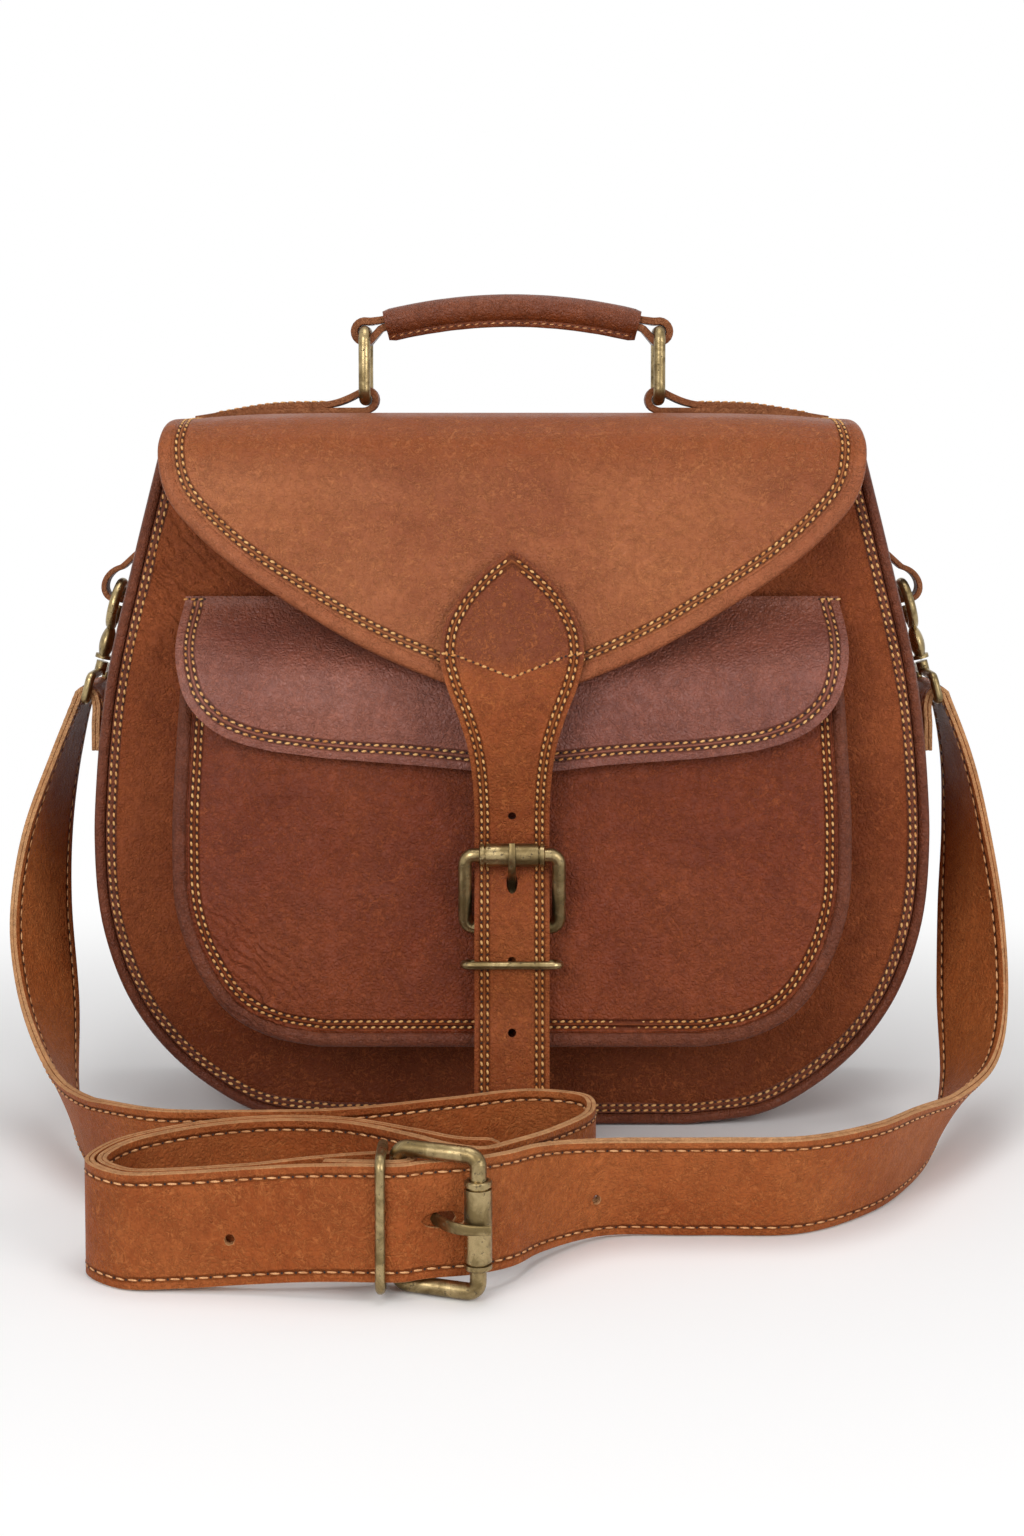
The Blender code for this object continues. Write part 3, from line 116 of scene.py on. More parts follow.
class Finish:
    """A material that is being put together."""

    def __init__(self, name):
        self.material = bpy.data.materials.new(name)
        self.material.use_nodes = True
        self.tree = self.material.node_tree
        self.shader = self.tree.nodes["Principled BSDF"]
        self.place = self.add("ShaderNodeTexCoord", {}, {}, "Object")

    def add(self, kind, settings, sockets, out=0):
        node = self.tree.nodes.new(kind)
        for key, value in settings.items():
            setattr(node, key, value)
        for key, value in sockets.items():
            self.join(node.inputs[key], value)
        return Value(self, node.outputs[out])

    def join(self, socket, value):
        if isinstance(value, Value):
            self.tree.links.new(value.socket, socket)
        elif isinstance(value, tuple) and len(value) == 3 and len(socket.default_value) == 4:
            socket.default_value = (*value, 1.0)
        else:
            socket.default_value = value

    def noise(self, scale, detail=2.0, roughness=0.5, distortion=0.0):
        sockets = {"Vector": self.place, "Scale": scale, "Detail": detail}
        sockets.update({"Roughness": roughness, "Distortion": distortion})
        return self.add("ShaderNodeTexNoise", {}, sockets, "Fac")

    def cells(self, scale, place):
        """The way to the nearest border between cells."""
        settings = {"feature": "DISTANCE_TO_EDGE"}
        return self.add("ShaderNodeTexVoronoi", settings, {"Vector": place, "Scale": scale}, "Distance")

    def warped(self, scale, amount):
        """Object coordinates pushed about by a coloured noise, so that a pattern wanders."""
        sockets = {"Vector": self.place, "Scale": scale, "Detail": 3.0}
        push = self.add("ShaderNodeTexNoise", {}, sockets, "Color")
        scaled = self.add("ShaderNodeVectorMath", {"operation": "SCALE"}, {0: push, "Scale": amount})
        return self.add("ShaderNodeVectorMath", {"operation": "ADD"}, {0: self.place, 1: scaled})

    def mixed(self, share, first, second):
        """Two colours mixed by a share."""
        return self.add("ShaderNodeMix", {"data_type": "RGBA"}, {0: share, 6: first, 7: second}, 2)

    def attribute(self, name):
        return self.add("ShaderNodeAttribute", {"attribute_name": name}, {}, "Fac")

    def relief(self, height, distance):
        """A bump of a height between nought and one, that many metres deep."""
        sockets = {"Height": height, "Strength": 1.0, "Distance": distance}
        bump = self.add("ShaderNodeBump", {}, sockets, "Normal")
        self.join(self.shader.inputs["Normal"], bump)

    def set(self, name, value):
        self.join(self.shader.inputs[name], value)


# %% [markdown]
# ## Vegetable-tanned leather
# Oiled cowhide is never one colour. It has cloudy patches from the dye, a grain of fine pores and coarser
# pebbles, and pale, thin veins where it has been bent and the oil has moved away. Noise from large to fine
# gives the clouds and the grain. The edges of wandering cells and the middle lines of noise give the veins,
# the creases and the hair lines. The same formula with other colours makes each hide.
# Stitch grooves are darkened as painted shade, the ridge between two rows is lightened as a painted highlight, and
# colours mixed in by height paint shade and sheen on some hides.

# %% Leather finish
def groove_mask(finish, insets, wide):
    """One where a row of stitches pulls the leather down, at each inset from the cut edge."""
    edge = finish.attribute("edge")
    total = None
    for inset in insets:
        away = (edge - inset).math("ABSOLUTE")
        row = 1.0 - away.between(0.0, wide)
        total = row if total is None else total.math("MAXIMUM", row)
    return total


def strokes(finish, scale, wander, wide):
    """Thin lines where a wandering noise passes its middle value."""
    field = finish.noise(scale, 2.5, 0.55, wander)
    return 1.0 - (field - 0.5).math("ABSOLUTE").between(0.0, wide)


GROOVE_WIDE = 0.0013


def leather(name, base, deep, bright, rough, veins, coat, rows=(), clouds=1.0, puckers=(), shade_sheen_and_tone_by_height=(), shine=0.08):
    """A hide of three tones; the colours by height, as (low, high, colour, share), paint shade and sheen on some hides
    and the hide's own tone on others; rows are insets of stitch rows.
    """
    finish = Finish(name)
    broad = finish.noise(11.0, 3.0, 0.55).between(0.34, 0.66)
    cloud = finish.noise(46.0, 5.0, 0.6, 0.6).between(0.30, 0.70)
    fleck = finish.noise(310.0, 4.0, 0.65).between(0.32, 0.68)
    grain = finish.noise(1100.0, 3.0, 0.6)
    coarse = finish.noise(500.0, 2.5, 0.55, 0.7)
    pebble = finish.cells(560.0, finish.warped(300.0, 0.0020)).between(0.0, 0.32)
    line = 1.0 - finish.cells(95.0, finish.warped(70.0, 0.020)).between(0.0, 0.030)
    worn = finish.noise(24.0, 3.0, 0.6).between(0.46, 0.66)
    broken = finish.noise(150.0, 3.0, 0.6).between(0.32, 0.58)
    crease = strokes(finish, 62.0, 1.4, 0.016) * worn
    hair = strokes(finish, 290.0, 2.0, 0.070) * broken
    vein = line * worn * 0.45 + crease * 0.8 + hair * 0.85
    colour = finish.mixed(cloud * (0.66 * clouds), base, deep)
    colour = finish.mixed(broad * (0.40 * clouds), colour, bright)
    # Colours mixed in by height: on some hides painted shade and painted sheen, on others the hide's own tone.
    for low, high, tint, share in shade_sheen_and_tone_by_height:
        height = finish.add("ShaderNodeSeparateXYZ", {}, {0: finish.place}, "Z")
        colour = finish.mixed(height.between(low, high) * share, colour, tint)
    colour = finish.mixed(fleck * 0.42, colour, deep)
    colour = finish.mixed((vein * veins).math("MINIMUM", 0.80), colour, bright)
    height = grain * 0.40 + coarse * 0.62 + pebble * 0.40 + cloud * 0.5 - vein * 0.45
    if rows:
        groove = groove_mask(finish, rows, GROOVE_WIDE)
        # Darker in the stitch grooves: painted shade.
        colour = finish.mixed(groove * 0.50, colour, tuple(c * 0.35 for c in base))
        height = height - groove * 2.2
        if len(rows) > 1:
            ridge = groove_mask(finish, [sum(rows) / len(rows)], (rows[1] - rows[0]) * 0.45)
            # Lighter on the raised ridge between two rows: painted highlight.
            colour = finish.mixed(ridge * 0.45, colour, bright)
            height = height + ridge * 0.9
    for middle, reach, scale, depth in puckers:
        height = height + pucker(finish, middle, reach, scale) * depth
    finish.set("Base Color", colour)
    finish.set("Roughness", (rough - 0.06) + cloud * 0.10 + vein * 0.10)
    finish.set("Coat Weight", coat)
    finish.set("Coat Roughness", 0.34)
    finish.set("Specular IOR Level", shine)
    finish.relief(height, 0.00062)
    return finish.material


def pucker(finish, middle, reach, scale):
    """Creases that gather round a place on the leather, in waves across a turned direction."""
    sockets = {"Vector": finish.warped(34.0, 0.016), "Location": tuple(-m for m in middle)}
    moved = finish.add("ShaderNodeMapping", {"vector_type": "POINT"}, sockets)
    away = finish.add("ShaderNodeVectorMath", {"operation": "LENGTH"}, {0: moved}, "Value")
    wave = {"wave_type": "BANDS", "bands_direction": "DIAGONAL"}
    sockets = {"Vector": moved, "Scale": scale, "Distortion": 6.0, "Detail": 4.0}
    folds = finish.add("ShaderNodeTexWave", wave, sockets, "Fac")
    return folds * (1.0 - away.between(0.0, reach))


RED_BROWN = (0.192, 0.041, 0.011)
BODY_DEEP = (0.108, 0.020, 0.006)
BODY_BRIGHT = (0.380, 0.105, 0.034)
PLUM_BROWN = (0.142, 0.036, 0.016)
PLUM_DEEP = (0.060, 0.014, 0.008)
PLUM_BRIGHT = (0.260, 0.080, 0.036)
SADDLE_TAN = (0.282, 0.080, 0.029)
SADDLE_DEEP = (0.175, 0.042, 0.014)
SADDLE_BRIGHT = (0.520, 0.185, 0.066)
STRAP_TAN = (0.310, 0.077, 0.019)
STRAP_DEEP = (0.185, 0.040, 0.010)
STRAP_BRIGHT = (0.530, 0.175, 0.052)

# %% [markdown]
# ## Antique brass
# The fittings are cast brass that was darkened and rubbed back. The high places shine pale gold and the rest
# keeps a brown film with small dark specks. Patina is a mix of two metal colours by noise, and roughness rises
# with it.

# %% Brass finish
PALE_BRASS = (0.400, 0.300, 0.150)
BROWN_FILM = (0.170, 0.120, 0.052)
DARK_SPECK = (0.050, 0.035, 0.018)


def brass(name):
    finish = Finish(name)
    film = finish.noise(95.0, 5.0, 0.65, 0.8).between(0.36, 0.64)
    speck = finish.noise(720.0, 3.0, 0.6).between(0.58, 0.70)
    brush = finish.noise(1800.0, 2.0, 0.5)
    colour = finish.mixed(film, PALE_BRASS, BROWN_FILM)
    colour = finish.mixed(speck * 0.75, colour, DARK_SPECK)
    finish.set("Base Color", colour)
    finish.set("Metallic", 1.0 - speck * 0.4)
    finish.set("Roughness", 0.27 + film * 0.14 + speck * 0.25)
    finish.relief(brush * 0.25 + film * 0.5 - speck * 0.7, 0.00010)
    return finish.material


BRASS = brass("antique_brass")

# %% [markdown]
# ## Thread
# The bag is sewn with waxed linen. Each stitch is a short, fat capsule of cream to gold, twisted, and a dark
# dimple of painted shade marks where it dips into its hole. A fine wave across the stitch gives the twist.

# %% Thread and hole finishes
def thread(name, pale, gold):
    finish = Finish(name)
    tone = finish.noise(180.0, 3.0, 0.6).between(0.35, 0.65)
    settings = {"wave_type": "BANDS", "bands_direction": "DIAGONAL"}
    twist = finish.add("ShaderNodeTexWave", settings, {"Vector": finish.place, "Scale": 900.0}, "Fac")
    finish.set("Base Color", finish.mixed(tone, pale, gold))
    finish.set("Roughness", 0.55 + tone * 0.15)
    finish.relief(twist, 0.00012)
    return finish.material


def hole_shade_finish(name, colour):
    """Painted shade for the inside of a punched hole."""
    finish = Finish(name)
    tone = finish.noise(700.0, 2.0)
    finish.set("Base Color", finish.mixed(tone, colour, tuple(c * 0.5 for c in colour)))
    finish.set("Roughness", 0.75 + tone * 0.2)
    return finish.material


CREAM_THREAD = thread("cream_thread", (0.780, 0.450, 0.165), (0.540, 0.215, 0.050))
GOLD_THREAD = thread("gold_thread", (0.760, 0.400, 0.175), (0.500, 0.210, 0.075))
# The dark of every stitch hole is painted shade.
HOLE_SHADE = hole_shade_finish("painted_hole_shade", (0.022, 0.009, 0.006))
print("finishes ready:", len(bpy.data.materials))

# %% [markdown]
# ## Curves that the maker draws
# A pattern needs smooth lines through a few marked points, lines set in from an edge, and round arcs. These
# helpers are the maker's flexible rule, wing divider and compass.

# %% Line helpers
def curve_through(points, steps):
    """A smooth curve through every point, with the same number of steps between two."""
    spans = [math.dist(a[:3], b[:3]) for a, b in zip(points, points[1:])]
    chords = [[(q - p) / span for p, q in zip(a, b)] for a, b, span in zip(points, points[1:], spans)]
    slopes = [chords[0]]
    for before, after, span_before, span_after in zip(chords, chords[1:], spans, spans[1:]):
        share = span_before / (span_before + span_after)
        slopes.append([p + (q - p) * share for p, q in zip(before, after)])
    slopes.append(chords[-1])
    found = []
    for i, span in enumerate(spans):
        for step in range(steps):
            parts = zip(points[i], points[i + 1], slopes[i], slopes[i + 1])
            found.append(tuple(blended(p, q, m, n, span, step / steps) for p, q, m, n in parts))
    found.append(tuple(points[-1]))
    return found


def blended(start, end, slope_start, slope_end, span, t):
    move = end - start
    bend = (1 - t) * (slope_start * span - move) - t * (slope_end * span - move)
    return start + move * t + t * (1 - t) * bend


def side_ways(path):
    """The left-hand direction at each point of a flat path, longer at a corner."""
    found = []
    for i in range(len(path)):
        before, here, after = (Vector(path[max(i - 1, 0)]), Vector(path[i]), Vector(path[min(i + 1, len(path) - 1)]))
        ways = [(b - a).normalized() for a, b in ((before, here), (here, after)) if (b - a).length > 0]
        along = sum(ways, Vector((0, 0))).normalized()
        found.append(Vector((-along.y, along.x)) / max(along.dot(ways[0]), 0.5))
    return found


def set_in(path, distance):
    """A flat path moved to its left."""
    return [tuple(Vector(p) + n * distance) for p, n in zip(path, side_ways(path))]


def both_sides(half):
    """A left-to-right line from its right half, which starts on the middle."""
    return [(-x, z) for x, z in reversed(half[1:])] + list(half)


def all_round(half):
    """The free edge of a pattern, from its half: down the right side and back up the left."""
    return half + [(-x, s) for x, s in reversed(half)]


def width_at(half, height):
    """Half the width of an outline at a height."""
    for (x0, z0), (x1, z1) in zip(half, half[1:]):
        if z0 <= height <= z1 and z1 > z0:
            return x0 + (x1 - x0) * (height - z0) / (z1 - z0)
    return half[-1][0]


def arc(centre, radius, start_deg, end_deg, steps):
    turns = [math.radians(start_deg + (end_deg - start_deg) * i / steps) for i in range(steps + 1)]
    return [(centre[0] + radius * math.cos(t), centre[1] + radius * math.sin(t)) for t in turns]


def rounded_rectangle(wide, high, corner, steps=6):
    x, z = wide / 2 - corner, high / 2 - corner
    quarters = ((x, z, 0), (-x, z, 90), (-x, -z, 180), (x, -z, 270))
    return [p for cx, cz, turn in quarters for p in arc((cx, cz), corner, turn, turn + 90, steps)]


def lengths_of(path):
    found = [0.0]
    for a, b in zip(path, path[1:]):
        found.append(found[-1] + math.dist(a, b))
    return found


# %% [markdown]
# ## Cutting and laying a piece
# Every leather piece starts flat, as a sheet cut to a pattern, and is then laid on its form. The sheet is a grid
# whose rows run across the pattern, so the cut edge follows the outline. A lay function says where a point of
# the pattern goes in space. Solidify gives the hide its thickness and a bevel breaks the cut edge. Each point
# also keeps its distance from the cut edge, which the finish uses for the stitch grooves.

# %% Sheet helpers
def finished(name, bm, finish, body, stands_for=()):
    """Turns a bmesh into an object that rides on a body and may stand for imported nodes."""
    bmesh.ops.recalc_face_normals(bm, faces=bm.faces)
    mesh = bpy.data.meshes.new(name)
    bm.to_mesh(mesh)
    bm.free()
    mesh.materials.append(finish)
    for face in mesh.polygons:
        face.use_smooth = True
    piece = bpy.data.objects.new(name, mesh)
    bpy.context.scene.collection.objects.link(piece)
    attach(piece, body)
    if stands_for:
        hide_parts(*stands_for)
    return piece


def creased_at(piece, angle_deg):
    piece.data.set_sharp_from_angle(angle=math.radians(angle_deg))
    return piece


def grid_skin(columns, rows, place, edge_at=None):
    """A grid of faces with every corner moved to place(column share, row share), and its way to the cut edge."""
    bm = bmesh.new()
    edge = bm.verts.layers.float.new("edge")
    bmesh.ops.create_grid(bm, x_segments=columns, y_segments=rows, size=0.5)
    for vert in bm.verts:
        u, v = vert.co.x + 0.5, vert.co.y + 0.5
        vert.co = place(u, v)
        vert[edge] = edge_at(u, v) if edge_at else 1.0
    return bm


def distances_to(line, points):
    """The shortest way from each point of a pattern to a line on it."""
    starts = np.array(line[:-1])
    steps = np.array(line[1:]) - starts
    gaps = np.array(points)[:, None, :] - starts[None]
    shares = (gaps * steps).sum(2) / np.maximum((steps * steps).sum(1), 1e-12)
    off = gaps - np.clip(shares, 0.0, 1.0)[..., None] * steps
    return np.sqrt((off * off).sum(2)).min(1)


def punch(bm, x, s, wide, long):
    """Takes a hole out of a flat sheet and draws its cut round."""

    def away(place):
        return math.hypot((place.x - x) * 2 / wide, (place.y - s) * 2 / long)

    gone = [face for face in bm.faces if away(face.calc_center_median()) < 1.0]
    bmesh.ops.delete(bm, geom=gone, context="FACES")
    for vert in bm.verts:
        share = away(vert.co)
        if vert.is_boundary and share < 2.0:
            vert.co = (x + (vert.co.x - x) / share, s + (vert.co.y - s) / share, 0.0)


PANEL_ROUNDING = 0.0009
FOLD_ROUNDING = 0.0006


def cut_sheet(name, half, lay, cell, thickness, finish, body, edge_line=None, rounding=PANEL_ROUNDING,
              holes=(), edge=None, stands=True):
    """Cuts a sheet to a half outline of (half width, length) and lays it: lay(x, length, out) gives a place."""
    low, high = half[0][1], half[-1][1]
    widest = max(w for w, s in half)
    rows = max(2, round((high - low) / cell))
    columns = max(2, round(2 * widest / cell))

    def flat(u, v):
        s = low + (high - low) * v
        return ((2 * u - 1) * width_at(half, s), s)

    places = [flat(j / columns, i / rows) for i in range(rows + 1) for j in range(columns + 1)]
    away = distances_to(edge_line or both_sides(half), places)

    def edge_at(u, v):
        return away[round(v * rows) * (columns + 1) + round(u * columns)]

    bm = grid_skin(columns, rows, lambda u, v: (*flat(u, v), 0.0), edge_at)
    for hole in holes:
        punch(bm, *hole)
    for vert in bm.verts:
        vert.co = lay(vert.co.x, vert.co.y, 0.0)
    piece = finished(name, bm, finish, body, [name] if stands else [])
    thicken(piece, thickness, rounding)
    if edge:
        piece.data.materials.append(edge)
        piece.modifiers["hide"].material_offset_rim = 1
    return piece


def thicken(piece, thickness, rounding):
    solid = piece.modifiers.new("hide", "SOLIDIFY")
    solid.thickness = thickness
    solid.offset = 0
    solid.use_even_offset = True
    if rounding:
        bevel = piece.modifiers.new("broken_edge", "BEVEL")
        bevel.width = rounding
        bevel.segments = 3
        bevel.limit_method = "ANGLE"
        bevel.angle_limit = math.radians(50)


JOIN_WITHIN = 0.000001


def sealed(bm, ends=True):
    """Joins corners that meet and, if asked, closes the open ends."""
    bmesh.ops.remove_doubles(bm, verts=bm.verts, dist=JOIN_WITHIN)
    if ends:
        bmesh.ops.holes_fill(bm, edges=[e for e in bm.edges if e.is_boundary], sides=0)
    return bm


def swept(stations, section, closed=False):
    """Carries a flat section, or one section for each station, along (place, first way, second way)."""
    count = len(stations)
    rows = count if closed else count - 1
    sections = section if isinstance(section[0], list) else [section] * count
    columns = len(sections[0])

    def place(u, v):
        row = round(v * rows) % count
        middle, first, second = stations[row]
        a, b = sections[row][round(u * columns) % columns]
        return middle + first * a + second * b

    return sealed(grid_skin(columns, rows, place), not closed)


def stations_on(path, closed=False, side=None):
    """Stations along a path: the section's first way keeps close to side, or is carried without twist."""
    points = [Vector(p) for p in path]
    count = len(points)
    ways = []
    for i, here in enumerate(points):
        before = points[i - 1] if i or closed else here
        after = points[(i + 1) % count] if i < count - 1 or closed else here
        ways.append((after - before).normalized())
    first = Vector(side) if side else ways[0].orthogonal()
    found = []
    for here, way in zip(points, ways):
        base = Vector(side) if side else first
        first = (base - way * base.dot(way)).normalized()
        found.append((here, first, way.cross(first)))
    return found


WIRE_SIDES = 16
CREASE_DEG = 50


def fitting(name, bm, body, crease_deg=CREASE_DEG, stands=True):
    """A brass piece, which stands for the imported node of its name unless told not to."""
    return creased_at(finished(name, bm, BRASS, body, [name] if stands else []), crease_deg)


def wire(name, path, radius, body, closed=False, stands=True):
    """A round rod bent along a path."""
    section = arc((0, 0), radius, 0, 360, WIRE_SIDES)[:-1]
    return fitting(name, swept(stations_on(path, closed), section, closed), body, stands=stands)


# %% [markdown]
# ## Stitches
# A stitch is a small capsule that lies along the seam, and between two stitches the thread goes down a punched
# hole. One low capsule and one low dimple are made once and then copied along a line on the pattern, so that
# thousands of them stay light.
# The dimple is dark: it is painted shade for the hole.

# %% Stitch helpers
def capsule_mesh():
    bm = bmesh.new()
    bmesh.ops.create_uvsphere(bm, u_segments=6, v_segments=4, radius=1.0)
    bmesh.ops.rotate(bm, cent=(0, 0, 0), matrix=Matrix.Rotation(math.pi / 2, 3, "Y"), verts=bm.verts)
    mesh = bpy.data.meshes.new("capsule")
    bm.to_mesh(mesh)
    bm.free()
    return mesh


CAPSULE = capsule_mesh()


def copies(name, places, finish, body):
    """One mesh of many capsules, each with its own matrix."""
    bm = bmesh.new()
    for matrix in places:
        mesh = CAPSULE.copy()
        mesh.transform(matrix)
        bm.from_mesh(mesh)
        bpy.data.meshes.remove(mesh)
    return finished(name, bm, finish, body)


def matrix_of(place, way, out, sizes):
    side = out.cross(way).normalized()
    up = way.cross(side).normalized()
    turn = Matrix((way, side, up)).transposed().to_4x4()
    return Matrix.Translation(place) @ turn @ Matrix.Diagonal((*sizes, 1.0))


STITCH_THICK = 0.00050
SEAM_COUNT = [0]


def sew(name, lines, body, pitch=0.0032, finish=None, share=0.62, slant=0.22, thick=STITCH_THICK, sink=0.3, hole=0.12):
    """Sews along lines of (place, outward way): thread capsules and, between them, dark dimples that are painted shade
    for the holes.
    """
    threads, holes = [], []
    for line in lines:
        gone = lengths_of([spot[0] for spot in line])
        count = max(1, round(gone[-1] / pitch))
        step = gone[-1] / count
        at = 0
        for i in range(2 * count):
            want = (i + 0.5) * step / 2
            while gone[at + 1] < want and at < len(gone) - 2:
                at += 1
            t = (want - gone[at]) / max(gone[at + 1] - gone[at], 1e-9)
            place = line[at][0].lerp(line[at + 1][0], t)
            way = (line[at + 1][0] - line[at][0]).normalized()
            out = line[at][1].lerp(line[at + 1][1], t).normalized()
            if i % 2 == 0:
                turned = (way + out.cross(way) * slant).normalized()
                sizes = (step * share / 2, thick, thick * 0.9)
                threads.append(matrix_of(place + out * thick * sink, turned, out, sizes))
            else:
                # a dark dimple between two stitches: painted shade in the hole
                sizes = (step * hole, thick * 0.95, thick * 0.5)
                holes.append(matrix_of(place + out * thick * 0.05, way, out, sizes))
    SEAM_COUNT[0] += len(threads)
    copies(name + "_thread", threads, finish or CREAM_THREAD, body)
    copies(name + "_holes", holes, HOLE_SHADE, body)


def laid_line(flat_line, lay, out):
    """A line of the pattern laid on the form, with its outward ways."""
    found = []
    step = 0.0004
    for x, s in flat_line:
        place = Vector(lay(x, s, out))
        across = Vector(lay(x + step, s, out)) - Vector(lay(x - step, s, out))
        along = Vector(lay(x, s + step, out)) - Vector(lay(x, s - step, out))
        normal = across.cross(along).normalized()
        outward = Vector(lay(x, s, out + step)) - place
        if normal.dot(outward) < 0:
            normal.negate()
        found.append((place, normal))
    return found


print("one stitch has", len(CAPSULE.polygons), "faces")

# %% [markdown]
# ## Paths that a sheet follows
# Seen from the side, the flap is one line over the bag's top and the strap is another over the buckle. A profile
# keeps such a line and finds the place at any length along it and any height off it. A ribbon does the same for
# the shoulder strap, which also turns about its own length. Creases and sag are small waves off the true form.

# %% Profiles, ribbons and mouldings
def found_on(gone, length):
    """The step of a line in which a length falls, and its share of that step."""
    i = min(max(bisect.bisect_right(gone, length) - 1, 0), len(gone) - 2)
    return i, (length - gone[i]) / (gone[i + 1] - gone[i])


class Profile:
    """A flat line that a sheet follows: at(length, out) is a place beside it, out to its right."""

    def __init__(self, points):
        self.points = [Vector(p) for p in points]
        self.sides = side_ways(points)
        self.gone = lengths_of(points)
        self.long = self.gone[-1]

    def at(self, length, out=0.0):
        i, t = found_on(self.gone, length)
        side = self.sides[i].lerp(self.sides[i + 1], t)
        return self.points[i].lerp(self.points[i + 1], t) - side * out


class Ribbon:
    """A strap's line in space, with the direction across it at each place."""

    def __init__(self, stations):
        self.points = [Vector(s[:3]) for s in stations]
        self.across = [Vector(s[3:]).normalized() for s in stations]
        self.gone = lengths_of(self.points)
        self.long = self.gone[-1]
        self.outs = []
        last = len(stations) - 1
        for i, across in enumerate(self.across):
            way = (self.points[min(i + 1, last)] - self.points[max(i - 1, 0)]).normalized()
            self.outs.append(way.cross(across).normalized())

    def at(self, x, length, out=0.0):
        i, t = found_on(self.gone, length)
        middle = self.points[i].lerp(self.points[i + 1], t)
        across = self.across[i].lerp(self.across[i + 1], t)
        return middle + across * x + self.outs[i].lerp(self.outs[i + 1], t) * out


def lay_across(profile, side=1):
    """Lays a strip whose line runs along the bag on one side, its width going front to back."""

    def lay(x, s, out):
        along, up = profile.at(s, out)
        return Vector((side * along, x, up))

    return lay


def soft(place, amount, scale=28.0, seed=0.0):
    """A gentle wave of the leather off its true form."""
    return noise.noise(Vector(place) * scale + Vector((seed, seed, seed))) * amount


def moulding(name, line, section, lay, finish, body):
    """A raised edge: a closed section of (inset from the line, height) carried along a line of the pattern."""
    sides = side_ways(line)
    columns = len(section)

    def at(u):
        return section[round(u * columns) % columns]

    def place(u, v):
        row = round(v * (len(line) - 1))
        inset, out = at(u)
        x, s = line[row][0] + sides[row].x * inset, line[row][1] + sides[row].y * inset
        return lay(x, s, out)

    bm = sealed(grid_skin(columns, len(line) - 1, place, lambda u, v: at(u)[0]))
    return creased_at(finished(name, bm, finish, body, [name]), 55)


GROOVE_GAP = 0.0012
GROOVE_HALF = 0.0009


def edge_section(wide, low, crown, grooves, depth):
    """A rolled edge: round over its outer band, then a dip at each row of stitches, and a flat back."""
    band = grooves[0] - GROOVE_GAP
    turns = [math.pi * i / 10 for i in range(10)]
    top = [(band / 2 - band / 2 * math.cos(t), low + (crown - low) * math.sin(t) ** 0.42) for t in turns]
    level = crown - depth
    for groove in grooves:
        lip = level + depth * 0.45
        top += [(groove - GROOVE_HALF, lip), (groove, level), (groove + GROOVE_HALF, lip)]
    top = [p for p in top if p[0] < wide - 0.0001] + [(wide, level - depth * 0.4)]
    return top + [(wide, low), (wide * 0.5, low), (band * 0.3, low)]


def cropped(half, top):
    kept = [p for p in half if p[1] < top]
    return kept + [(width_at(half, top), top)]


print("paths ready")

# %% [markdown]
# ## The main compartment
# The body is a deep pouch: a front and a back panel cut to one outline, wide low down and drawn in at the top,
# joined by a long gusset. The seam is bound by a darker, glossy rim with two rows of cream stitches. Use has
# wrinkled the upper left of the front panel, and both panels belly a little.

# %% Pattern of the bag
LEATHER = 0.0024
FIT = 0.0003
BAG_HALF = 0.1664
BAG_TALL = 0.267
BAG_DEEP = 0.090
RIM_WIDE = 0.0090
RIM_DEEP = 0.0060
RIM_PROUD = 0.0014
GUSSET_INSET = 0.0026
MOUTH_DROP = 0.0050
UNDER_RIM = 0.0006
RIM_SEAM_SINK = 0.0008
GUSSET_HOLLOW = 0.0034
HOLLOW_FROM = (0.02, 0.09)
HOLLOW_TO = (0.165, 0.205)
UNDER_HINGE = BAG_TALL - 0.0026 - FIT
BAG_SHARES = (
    (0.0, 0.0), (0.43, 0.0), (0.62, 0.020), (0.733, 0.060), (0.84, 0.119), (0.915, 0.185),
    (0.978, 0.290), (1.0, 0.431), (0.994, 0.520), (0.971, 0.655), (0.901, 0.849), (0.84, 1.0),
)
bag_half = [(x * BAG_HALF, z * BAG_TALL) for x, z in BAG_SHARES]
bag_half = bag_half[:1] + curve_through(bag_half[1:], 8)
GUSSET_SHRINK = (BAG_HALF - GUSSET_INSET - LEATHER / 2) / BAG_HALF

# The body hide darkens towards the bottom of the bag, by height: painted shade.
BODY_HIDE = leather("body_hide", RED_BROWN, BODY_DEEP, BODY_BRIGHT, 0.42, 0.50, 0.03,
                    shade_sheen_and_tone_by_height=((0.060, 0.012, (0.078, 0.016, 0.005), 0.7),),
                    puckers=(((-0.130, -0.044, 0.226), 0.050, 90.0, 2.4),))
RIM_HIDE = leather("rim_hide", PLUM_BROWN, PLUM_DEEP, PLUM_BRIGHT, 0.32, 0.25, 0.05, clouds=0.8, shine=0.13,
                   puckers=(((-0.102, -0.082, 0.056), 0.030, 190.0, 1.5),))


def bag_face(front):
    """Lays a pattern on the front or the back of the bag, out being away from it."""
    face = (BAG_DEEP - RIM_DEEP) / 2

    def lay(x, z, out):
        return Vector((x, -(face + out) if front else face + out, z))

    return lay


def panel_lay(front):
    inset = RIM_DEEP / 2 - RIM_PROUD - LEATHER / 2

    def lay(x, z, out):
        place = bag_face(front)(x, z, inset + out)
        held = min(1.0, abs(x) / 0.03) if front else 1.0
        crumple = soft(place, 0.0016, 55.0, 3.0) * max(0.0, 1 - math.dist((x, z), (-0.128, 0.215)) / 0.06)
        place.y += (soft(place, 0.0006, 22.0) + crumple) * held
        return place

    return lay


